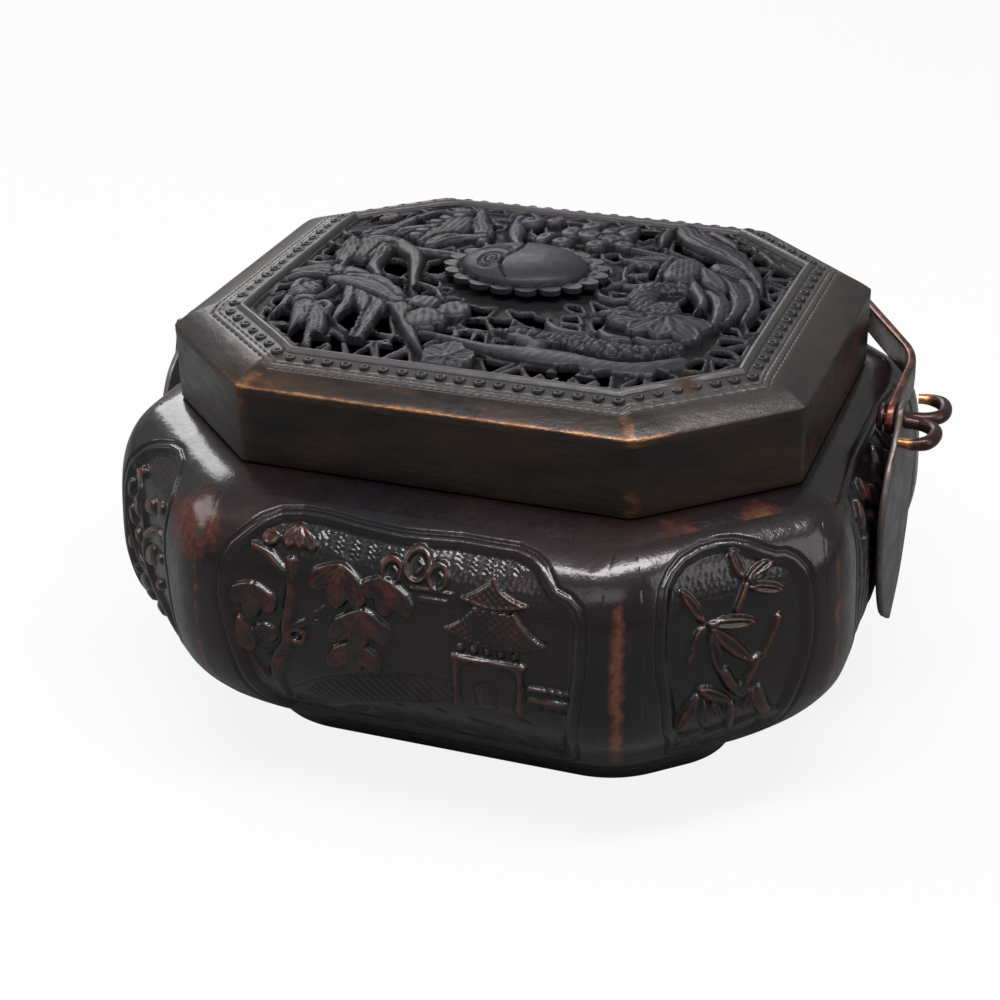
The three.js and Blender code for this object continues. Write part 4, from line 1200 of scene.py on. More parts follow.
    def pocket(self, panel: Panel, outside: Array) -> Array:
        """How deep the shell is sunk under a panel, at places of the panel's own side."""
        side, z, (reach, height) = panel.side.value, outside[..., 2], self.form.curve.T
        corners = octagon(*self.form.plan(reach, height)[:4])
        start, end = corners[side], corners[(side + 1) % 8]
        sample = octagon(*self.form.plan(np.array([60.0]), np.array([20.0]))[:4])
        way = (sample[(side + 1) % 8] - sample[side])[0]
        way = way / np.linalg.norm(way)
        s = np.interp(z, height, self.form.arc_on(side))
        cx, cy = (np.interp(z, height, (start + end)[:, i] / 2) for i in (0, 1))
        u = (outside[..., 0] - cx) * way[0] + (outside[..., 1] - cy) * way[1]
        u0, u1, s0, s1 = panel.box
        edge = np.minimum.reduce([u - u0, u1 - u, s - s0, s1 - s]) - 1.0
        return self.recess * smooth(edge, 0, 0.8)

    def inside_rows(self, columns: tuple[int, int, int]) -> Array:
        """Rows of the lip, the mouth, the inner wall and the foot, from the neck down."""
        top, ceiling = self.form.height, self.form.height - self.lip
        mouth = Lid.plan(1.4)
        rows = [(mouth, top), (mouth, ceiling)]
        levels = [ceiling - 0.2, 50, 46, 41, 36, 31.4, 26, 22, 18, 15, 12, 9.5, 7, 5]
        for level in levels:
            reach = self.reach_at(level)
            plan = [float(v) for v in self.form.plan(np.array(reach), np.array(level))]
            rows.append(((plan[0] - self.wall, plan[1] - self.wall, *plan[2:]), level))
        foot = self.form.foot
        sole = (foot[0] - self.foot_width, foot[1] - self.foot_width, *foot[2:])
        rows += [(sole, self.foot_recess), (sole, 0.0)]
        made = []
        for plan, level in rows:
            flat, _, _ = around_plan(plan, columns)
            made.append(np.concatenate([flat, np.full((1, flat.shape[1], 1), level)], -1))
        return np.concatenate(made)

    def reach_at(self, level: float) -> float:
        """Half length of the outside at a height."""
        return float(np.interp(level, self.form.curve[:, 1], self.form.curve[:, 0]))

    @staticmethod
    def ridge_wear(points: Array, gap: Array) -> Array:
        """Rubbed ridges between the sides, strongest right of the front, and rubbed spots."""
        z = points[..., 2]
        bearing = np.arctan2(points[..., 1], points[..., 0]) * 180 / math.pi
        strength = np.interp(bearing, [-180, -135, -118, -75, -60, -45, -30, 0, 180],
                             [0.4, 0.4, 0.45, 0.7, 0.75, 0.45, 0.5, 0.4, 0.4])
        ragged = 0.85 + 0.75 * ripple(points, (5.0, 2.9, 1.7))
        ridge = (peak(gap, 0.95) * ragged + 0.5 * peak(gap, 4.4)) * strength
        ridge = ridge * smooth(z, 6, 16) * (1 - smooth(z, 46, 51))
        rubbed = (((53, -37.5, 56), (4, 3.6, 2.4), 0.85), ((64, -33.5, 48.6), (2.2, 3, 2.8), 0.95),
                  ((43, -47, 56), (7, 3.4, 1.8), 0.5), ((65, -33, 44), (1.8, 2.6, 3.4), 0.6),
                  ((40, -60, 40), (3, 6, 9), 0.35))
        spots = sum(PatinaMap.spot(points, centre, radii) * a for centre, radii, a in rubbed)
        band = 0.25 * peak(z - 54.8, 0.7)
        return np.clip(np.maximum(ridge, spots) + band, 0, 1)

    def build(self) -> None:
        """Build and dress the shell, the panels, the base plate and the collar."""
        panels = self.panels()
        shell = self.shell(panels)
        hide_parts("body_shell")
        dress(shell, POT_BRONZE, Body.POT)
        for panel in panels:
            dress(panel.build(self.form), POT_BRONZE, Body.POT)
        for node in ("base_plate", "neck_collar"):
            piece = frame["nodes"][node]
            piece.data.materials.clear()
            piece.data.materials.append(INNER_BRONZE.material())


# What repeats or follows a line


def open_group(
        name: str, sockets: dict[str, str]) -> tuple[bpy.types.NodeTree, bpy.types.Node, list[str]]:
    """Start a geometry node group.

    Args:
        name: name of the group.
        sockets: type of each input after the geometry, by name.

    Returns:
        The group, its input node, and the identifiers of the inputs after the geometry.
    """
    tree = bpy.data.node_groups.new(name, "GeometryNodeTree")
    tree.interface.new_socket("Geometry", in_out="INPUT", socket_type="NodeSocketGeometry")
    keys = [tree.interface.new_socket(key, in_out="INPUT", socket_type=kind).identifier
            for key, kind in sockets.items()]
    tree.interface.new_socket("Geometry", in_out="OUTPUT", socket_type="NodeSocketGeometry")
    return tree, add(tree, "NodeGroupInput"), keys


def close_group(tree: bpy.types.NodeTree, made: bpy.types.Node, finish: Bronze) -> None:
    """Make a group's geometry real, give it its finish and hand it out."""
    real = add(tree, "GeometryNodeRealizeInstances", {0: made.outputs[0]})
    skin = add(tree, "GeometryNodeSetMaterial", {0: real.outputs[0], "Material": finish.material()})
    end = add(tree, "NodeGroupOutput")
    tree.links.new(skin.outputs[0], end.inputs[0])


def lines_object(name: str, lines: list, closed: bool = False) -> bpy.types.Object:
    """Build a curve object of straight-edged lines.

    Args:
        name: name of the object.
        lines: points in millimetres and radii, for each line.
        closed: whether each line closes on itself.

    Returns:
        The curve object.
    """
    curve = bpy.data.curves.new(name, "CURVE")
    curve.dimensions = "3D"
    for points, radii in lines:
        spline = curve.splines.new("POLY")
        spline.points.add(len(points) - 1)
        spline.points.foreach_set("co", np.c_[points * MM, np.ones(len(points))].ravel())
        spline.points.foreach_set("radius", np.array(radii, np.float32))
        spline.use_cyclic_u = closed
    return new_object(name, curve)


def settled(source: bpy.types.Object, name: str, spare: list[bpy.types.Object]) -> bpy.types.Object:
    """Turn an object's evaluated geometry into a plain mesh object and drop what made it.

    Args:
        source: object with its modifiers.
        name: name of the plain object.
        spare: objects used only as patterns.

    Returns:
        The plain object.
    """
    seen = source.evaluated_get(bpy.context.evaluated_depsgraph_get())
    mesh = bpy.data.meshes.new_from_object(seen)
    source.modifiers.clear()
    for extra in [source, *spare]:
        bpy.data.objects.remove(extra)
    mesh.name = name
    mesh.shade_smooth()
    return new_object(name, mesh)


# Lid


@dataclass
class Lid:
    """The lid: wall, domed border with punched rings, pierced field, and boss."""

    rim: float = 56.1
    top: float = 70.0
    wall: float = 1.3
    thickness: float = 1.6
    centre_x: float = 0.7

    RISE = ((0, 0), (0.5, 0.46), (1.2, 1.0), (3, 2.2), (5.5, 3.3), (9, 4.3), (12, 4.9), (20, 5.9),
            (30, 6.5), (48, 6.7))
    OUTLINE = (58, 48.5, 23.1, 21.3)
    BAND = (50.8, 44.5, 19.6, 17.2)

    @staticmethod
    def moved_in(sizes: tuple[float, ...], inset: float, reach: float) -> tuple[float, ...]:
        """Move a plan inward by one distance all round.

        Args:
            sizes: half length, half width, corner length and corner width.
            inset: the distance.
            reach: how far the rounding of a corner reaches.

        Returns:
            The moved plan.
        """
        length, width, cx, cy = sizes
        slant = math.hypot(cx, cy)
        nx, ny = cy / slant, cx / slant
        return (length - inset, width - inset, cx - inset * (1 - (1 - ny) / nx),
                cy - inset * (1 - (1 - nx) / ny), reach)

    @staticmethod
    def gaps(sizes: tuple[float, ...], x: Array, y: Array) -> Array:
        """Distances inside the end, the long side and the slanted side of a plan."""
        length, width, cx, cy = sizes
        slant = math.hypot(cx, cy)
        nx, ny = cy / slant, cx / slant
        u, v = np.abs(x), np.abs(y)
        return np.stack([length - u, width - v, nx * length + ny * (width - cy) - nx * u - ny * v])

    @staticmethod
    def plan(inset: float) -> tuple[float, ...]:
        """Plan of the lid's outline moved inward."""
        return Lid.moved_in(Lid.OUTLINE, inset, 1.2 * max(0.1, 1 - inset / Lid.OUTLINE[1]))

    @staticmethod
    def band_plan(inset: float) -> tuple[float, ...]:
        """Plan of the border's pattern, moved inward from its outer dashed line."""
        return Lid.moved_in(Lid.BAND, inset, 0.6)

    @classmethod
    def band_depth(cls, x: Array, y: Array) -> Array:
        """Distance inside the pattern's outer dashed line."""
        return cls.gaps(cls.BAND, x - cls.centre_x, y).min(0)

    @classmethod
    def rise(cls, x: Array, y: Array) -> Array:
        """Height of the plain dome over the lid's edge."""
        gaps = cls.gaps(cls.OUTLINE, x, y)
        least = gaps.min(0)
        soft = -np.log(np.exp(-(gaps - least) * 0.55).sum(0)) / 0.55 + least
        inset = np.clip(np.where(least < 6, least, least + (soft - least) * smooth(least, 6, 16)),
                        0, 48)
        return np.interp(inset, *rounded(np.array(cls.RISE, float)).T)

    def build(self) -> None:
        """Build and dress the wall, the border, the rings, the pierced field and the boss."""
        wall = self.make_wall()
        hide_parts("lid_wall")
        dress(wall, LID_BRONZE, Body.LID)
        border = self.make_border()
        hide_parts("lid_panel")
        dress(border, LID_BRONZE, Body.LID)
        dress(PierceField(self).build(), PIERCED_BRONZE, Body.LID)
        dress(PunchedRings(self).build(), PIERCED_BRONZE, Body.LID)
        boss = Boss().build()
        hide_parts("lid_boss")
        dress(boss, PIERCED_BRONZE, Body.LID)

    def make_wall(self) -> bpy.types.Object:
        """The lid's upright wall, slightly uneven and rubbed along its edges."""
        columns = (110, 64, 140)
        height = 12.7
        outer = [(0.5, 0.0), (0.12, 0.12), (0.02, 0.4)]
        outer += [(0.0, 0.4 + k * 0.75) for k in range(1, 17)] + [(0.0, height)]
        inner = [(self.wall, height), (self.wall, 0.0)]
        rows = [(inset, self.rim + rise) for inset, rise in outer + inner]
        return self.ring("lid_band", rows, columns, len(outer) - 1)

    def ring(self, name: str, rows: list, columns: tuple, outer: int) -> bpy.types.Object:
        """A closed ring from rows of inset and height; the first rows are its outside."""
        made = []
        for inset, level in rows:
            flat, _, gap = around_plan(self.plan(inset), columns)
            made.append(np.concatenate([flat, np.full((1, flat.shape[1], 1), level)], -1))
        points = np.concatenate(made)
        sunk = 0.05 * (1 + ripple(points, (37.0, 19.0, 11.0)))
        away = points[..., :2] / np.linalg.norm(points[..., :2], axis=-1, keepdims=True)
        shown = (np.arange(len(rows)) <= outer)[:, None]
        points[..., :2] -= away * (sunk * shown)[..., None]
        z = points[..., 2]
        edge = peak(gap, 1.3) * 0.34 + peak(z - self.rim, 0.8) * 0.2
        streak = 0.35 * smooth(ripple(points * np.array([1, 1, 2.2]), (26.0, 14.0, 8.0)), -0.1, 0.9)
        # Painted reflection: the left-front of the wall turns to the lighter grey, as if it
        # mirrored a bright left side
        grey = smooth(-points[..., 0] - points[..., 1] * 0.3, 46, 58)
        patchy = smooth(ripple(points, (37.0, 23.0, 14.0)), -0.9, 0.6)
        red = 0.5 * smooth(points[..., 0], 50, 57) * patchy
        # The wall's inner face gets painted shade, a fixed crevice value of 0.3
        marks = {"wear": np.clip(edge + streak, 0, 1) * shown, "other": grey * shown,
                 "rust": red * shown, "crevice": 0.3 * (1 - shown) + 0 * z}
        faces = grid_faces(len(rows), points.shape[1], True, True)
        return make_piece(name, points.reshape(-1, 3), [faces], marks, 50)

    def make_border(self) -> bpy.types.Object:
        """The border from edge to field: plain frame, dashed lines, ring track and inner rib."""
        columns = (250, 88, 300)
        frame_rows = np.array([0.0, 0.06, 0.16, 0.3, 0.45, 0.6, 0.75, 0.88, 0.96])
        band_rows = np.r_[np.linspace(-0.6, 6.0, 34), 6.15, 6.2]
        outer, _, gap = around_plan(self.plan(0.0), columns)
        edge_of_band, _, _ = around_plan(self.band_plan(-0.6), columns)
        shift = np.array([self.centre_x, 0])
        flat = [outer[0] * (1 - t) + (edge_of_band[0] + shift) * t for t in frame_rows]
        for depth in band_rows:
            place, _, _ = around_plan(self.band_plan(depth), columns)
            flat.append(place[0] + shift)
        flat = np.array(flat)
        x, y = flat[..., 0], flat[..., 1]
        depth = self.band_depth(x, y)
        worn = np.exp(-(((x - 39.5) / 4.2) ** 2 + ((y + 33.5) / 3.2) ** 2))
        along = np.arange(flat.shape[1])[None] + 0 * x
        dash = 0.5 + 0.5 * smooth(np.cos(2 * math.pi * along / 7.0), -0.75, 0.0)
        detail = -0.26 * dash * (peak(depth, 0.2) + peak(depth - 1.15, 0.2))
        detail += 0.34 * peak(depth - 5.0, 0.42) - 0.22 * peak(depth - 4.2, 0.25)
        detail -= 0.18 * smooth(depth, 1.4, 1.9) * (1 - smooth(depth, 3.9, 4.3))
        detail *= 1 - 0.95 * worn
        detail -= 1.1 * smooth(depth, 5.6, 6.1)
        z = self.top + self.rise(x, y) + detail - 0.03 * (1 + ripple_flat(x, y, (23.0, 13.0, 7.0)))
        top = np.concatenate([flat, z[..., None]], -1)
        skirt_foot = self.top - 1.19
        skirt = [np.c_[outer[0], np.full(len(outer[0]), level)]
                 for level in (skirt_foot, self.top - 0.7, self.top - 0.25)]
        low = []
        for inset, domed in ((1.6, False), (1.7, True), (5.0, True), (9.0, True)):
            place, _, _ = around_plan(self.plan(inset), columns)
            under = self.top + self.rise(*place[0].T) - self.thickness
            low.append(np.c_[place[0], under if domed else np.full(len(under), skirt_foot)])
        inner = top[-1].copy()
        inner[:, 2] -= 0.9
        points = np.concatenate([np.array(skirt), top, inner[None], np.array(low[::-1])])
        count = len(points)
        detail_all = np.zeros(points.shape[:2])
        detail_all[3:3 + len(flat)] = detail
        depth_all = np.full(points.shape[:2], -8.0)
        depth_all[3:3 + len(flat)] = depth
        shown = (np.arange(count) < 3 + len(flat))[:, None]
        corner = np.exp(-((np.broadcast_to(gap, points.shape[:2]) / 1.2) ** 2)) * 0.25
        near_edge = peak(points[..., 2] - self.top - 0.1, 0.3) * 0.42
        front = -points[..., 1]
        browner = 0.5 * smooth(front, 40, 47) * (1 - smooth(depth_all, -0.5, 0.5))
        grey = 0.32 + 0.45 * smooth(depth_all, -1.5, 1.0) - browner
        grey = np.where(points[..., 2] < self.top - 0.1, 0.1, grey)
        rubbed = (near_edge + corner * (depth_all < 0)) * (depth_all < -0.3)
        rubbed = rubbed + 0.35 * np.clip(detail_all, 0, 1)
        rubbed = rubbed + 0.6 * np.pad(worn, ((3, count - 3 - len(flat)), (0, 0)))
        rubbed = rubbed + 0.42 * smooth(front, 41, 46) * (depth_all < 0)
        # Painted shade in the border's grooves and dashed lines, darker the deeper they are
        groove_shade = np.clip(-detail_all / 0.35, 0, 1) * 0.8 * (depth_all < 5.6)
        marks = {"wear": np.clip(rubbed, 0, 1) * shown, "other": np.clip(grey, 0, 1) * shown,
                 "crevice": groove_shade}
        return make_piece("lid_border", points.reshape(-1, 3),
                          [grid_faces(count, points.shape[1], True, True)], marks, 55)


@dataclass
class PierceField:
    """The pierced and carved field inside the lid's border."""

    lid: Lid
    step: float = 0.34
    pitch: float = 6.0
    sunk: float = 0.5
    flatten: float = 0.62
    block: int = 4

    def build(self) -> bpy.types.Object:
        """Build the field as a closed solid.

        Returns:
            The field's object.
        """
        relief, top = self.shaped()
        bottom = self.lid.top + self.lid.rise(relief.x, relief.y) - self.lid.thickness - 0.25
        # Painted shade: the carving's hollows, its fine grooves and the low ground between struts
        # darken, the last so that it reads as dark openings
        crevice, wear = relief.hollows(4, 0.42, 0.6)
        fine, _ = relief.hollows(1, 0.09, 0.5)
        low = self.deep(relief)
        crevice = np.maximum.reduce([crevice, 0.75 * fine, low])
        return self.cut(relief, top, bottom, {"crevice": crevice, "wear": wear * 0.45
                                              * (1 - crevice)})

    @staticmethod
    def deep(relief: Relief) -> Array:
        """Share from 0 to 1 to which a place is low ground away from any strut."""
        return (1 - smooth(relief.height, -0.3, 0.35)) * smooth(relief.cover, 0.6, 0.95)

    def shaped(self) -> tuple[Relief, Array]:
        """Carve the field and find where it is solid.

        Returns:
            The carved field, and the height of its upper face.
        """
        x, y = np.meshgrid(np.arange(-45.2, 46.8, self.step), np.arange(-39.5, 39.6, self.step))
        relief = LidPicture(x, y, self.ground(x, y))
        relief.cover[:] = 1.0
        relief.carve()
        for corners in self.teeth():
            relief.open_up(relief.shape(corners))
        depth = self.lid.band_depth(x, y)
        relief.height -= 0.8 * self.deep(relief) * smooth(depth, 6.6, 7.4)
        relief.cover = np.maximum(relief.cover, 6.9 - depth)
        relief.cover = np.minimum(relief.cover, depth - 5.0)
        boss = 1 - np.hypot(x / 13.5, (y + 0.3) / 10.5)
        relief.cover = np.maximum(relief.cover, boss * 9)
        relief.cover -= 0.1
        edge = np.clip(relief.cover / 0.45, 0, 1)
        top = self.lid.top + self.lid.rise(x, y) + self.flatten * relief.height - self.sunk
        top = top - 0.28 * (1 - np.sqrt(1 - (1 - edge) ** 2))
        return relief, top

    @staticmethod
    def ground(x: Array, y: Array) -> Array:
        """Uneven low ground between the figures."""
        return -0.45 + 0.16 * ripple_flat(x, y, (5.3, 3.1, 2.3))

    def teeth(self) -> list:
        """Triangular openings of the net that shows along the front and the back of the field."""
        made = []
        for start, stop, low, high in ((-26.5, -8.2, -38.7, -33.6), (5.4, 15.6, -38.7, -34.4),
                                       (15.6, 27.0, -38.7, -35.6), (-26.0, 30.0, 38.7, 34.4),
                                       (-36.0, -26.0, 33.2, 30.0)):
            count = max(2, round((stop - start) / (self.pitch / 2)))
            half = (stop - start) / count
            for k in range(count):
                x = start + half * (k + 0.5) + 0.25 * math.sin(2.1 * k + start)
                tip, flat = (high, low) if k % 2 else (low, high)
                lean, back = 0.5 * math.sin(1.7 * k + start), math.copysign(1.05, tip - flat)
                made.append([(x - 0.72 * half, flat), (x + 0.72 * half, flat + 0.2 * lean),
                             (x + lean, tip - back)])
        return made

    @staticmethod
    def tidy(solid: Array) -> Array:
        """Fill cells so that no two meet only at a corner."""
        for _ in range(4):
            a, b, c, d = solid[:-1, :-1], solid[:-1, 1:], solid[1:, :-1], solid[1:, 1:]
            one, two = a & d & ~b & ~c, b & c & ~a & ~d
            if not (one.any() or two.any()):
                break
            solid[:-1, 1:] |= one
            solid[:-1, :-1] |= two
        return solid

    @staticmethod
    def joined(solid: Array, seed: tuple[int, int]) -> Array:
        """Keep only the cells that hang together with the seed."""
        kept = np.zeros_like(solid)
        kept[seed] = True
        while True:
            grown = kept.copy()
            for _ in range(12):
                grown[1:] |= grown[:-1]
                grown[:-1] |= grown[1:]
                grown[:, 1:] |= grown[:, :-1]
                grown[:, :-1] |= grown[:, 1:]
                grown &= solid
            if (grown == kept).all():
                return kept
            kept = grown

    def cut(self, relief: Relief, top: Array, bottom: Array,
            marks: dict[str, Array]) -> bpy.types.Object:
        """Turn the covered cells into a closed solid whose walls follow the edge of the cover.

        Args:
            relief: the carved field.
            top: height of the upper face.
            bottom: height of the underside.
            marks: attributes by grid place.

        Returns:
            The field's object.
        """
        cover = relief.cover
        cell = (cover[:-1, :-1] + cover[1:, :-1] + cover[:-1, 1:] + cover[1:, 1:]) / 4
        solid = self.tidy(cell > 0)
        solid = self.tidy(self.joined(solid, (solid.shape[0] // 2, solid.shape[1] // 2)))
        rows, columns = cover.shape
        around = np.pad(solid, 1)
        full = around[:-1, :-1] & around[1:, :-1] & around[:-1, 1:] & around[1:, 1:]
        gy, gx = np.gradient(cover, self.step)
        size, limit = np.maximum(gx**2 + gy**2, 0.2), self.step * 0.55
        x = relief.x + np.where(full, 0, np.clip(-cover * gx / size, -limit, limit))
        y = relief.y + np.where(full, 0, np.clip(-cover * gy / size, -limit, limit))
        total = rows * columns
        quads = self.corners(solid, columns)
        pairs = np.concatenate([quads[:, [0, 1]], quads[:, [1, 2]], quads[:, [2, 3]],
                                quads[:, [3, 0]]])
        keys = np.minimum(pairs[:, 0], pairs[:, 1]) * total + np.maximum(pairs[:, 0], pairs[:, 1])
        _, first, counts = np.unique(keys, return_index=True, return_counts=True)
        rim = pairs[first[counts == 1]]
        walls = np.stack([rim[:, 1], rim[:, 0], rim[:, 0] + total, rim[:, 1] + total], 1)
        hidden = np.hypot(relief.x / 12.2, (relief.y + 0.3) / 9.2)[:-1, :-1] < 1
        small_top, large_top = self.merged(solid, hidden, columns)
        small_low, large_low = self.merged(solid, solid, columns)
        fine = np.concatenate([self.corners(small_top, columns),
                               self.corners(small_low, columns)[:, ::-1] + total, walls])
        coarse = np.concatenate([large_top, large_low[:, ::-1] + total])
        used = np.unique(np.concatenate([fine.ravel(), coarse.ravel()]))
        number = np.full(2 * total, -1)
        number[used] = np.arange(len(used))
        flat = np.stack([x, y], -1).reshape(-1, 2)
        points = np.concatenate([np.c_[flat, top.ravel()], np.c_[flat, bottom.ravel()]])[used]
        # The underside gets painted shade, a fixed crevice value of 0.6
        below = {"crevice": 0.6, "wear": 0.0}
        spread = {k: np.r_[v.ravel(), np.full(total, below[k])][used] for k, v in marks.items()}
        faces = [number[fine], number[coarse]]
        return make_piece("lid_pierced_field", points, faces, spread, 60)

    @staticmethod
    def corners(cells: Array, columns: int) -> Array:
        """Point numbers of the four corners of each marked cell."""
        r, c = np.nonzero(cells)
        corner = r * columns + c
        return np.stack([corner, corner + 1, corner + columns + 1, corner + columns], 1)

    def merged(self, solid: Array, plain: Array, columns: int) -> tuple[Array, Array]:
        """Join cells in square blocks where a plain face needs no fine ones.

        Args:
            solid: cells that are solid.
            plain: cells that may be joined.
            columns: number of points in a row.

        Returns:
            The cells left single, and the outlines of the blocks as point numbers.
        """
        n = self.block
        tall, wide = (s // n * n for s in solid.shape)
        free = (solid & plain)[:tall, :wide].reshape(tall // n, n, wide // n, n).all((1, 3))
        single = solid.copy()
        single[:tall, :wide] &= ~np.repeat(np.repeat(free, n, 0), n, 1)
        r, c = np.nonzero(free)
        start = (r * n * columns + c * n)[:, None]
        step = np.arange(n)
        ring = np.r_[step, n + step * columns, n * columns + n - step, n * columns - step * columns]
        return single, start + ring[None]


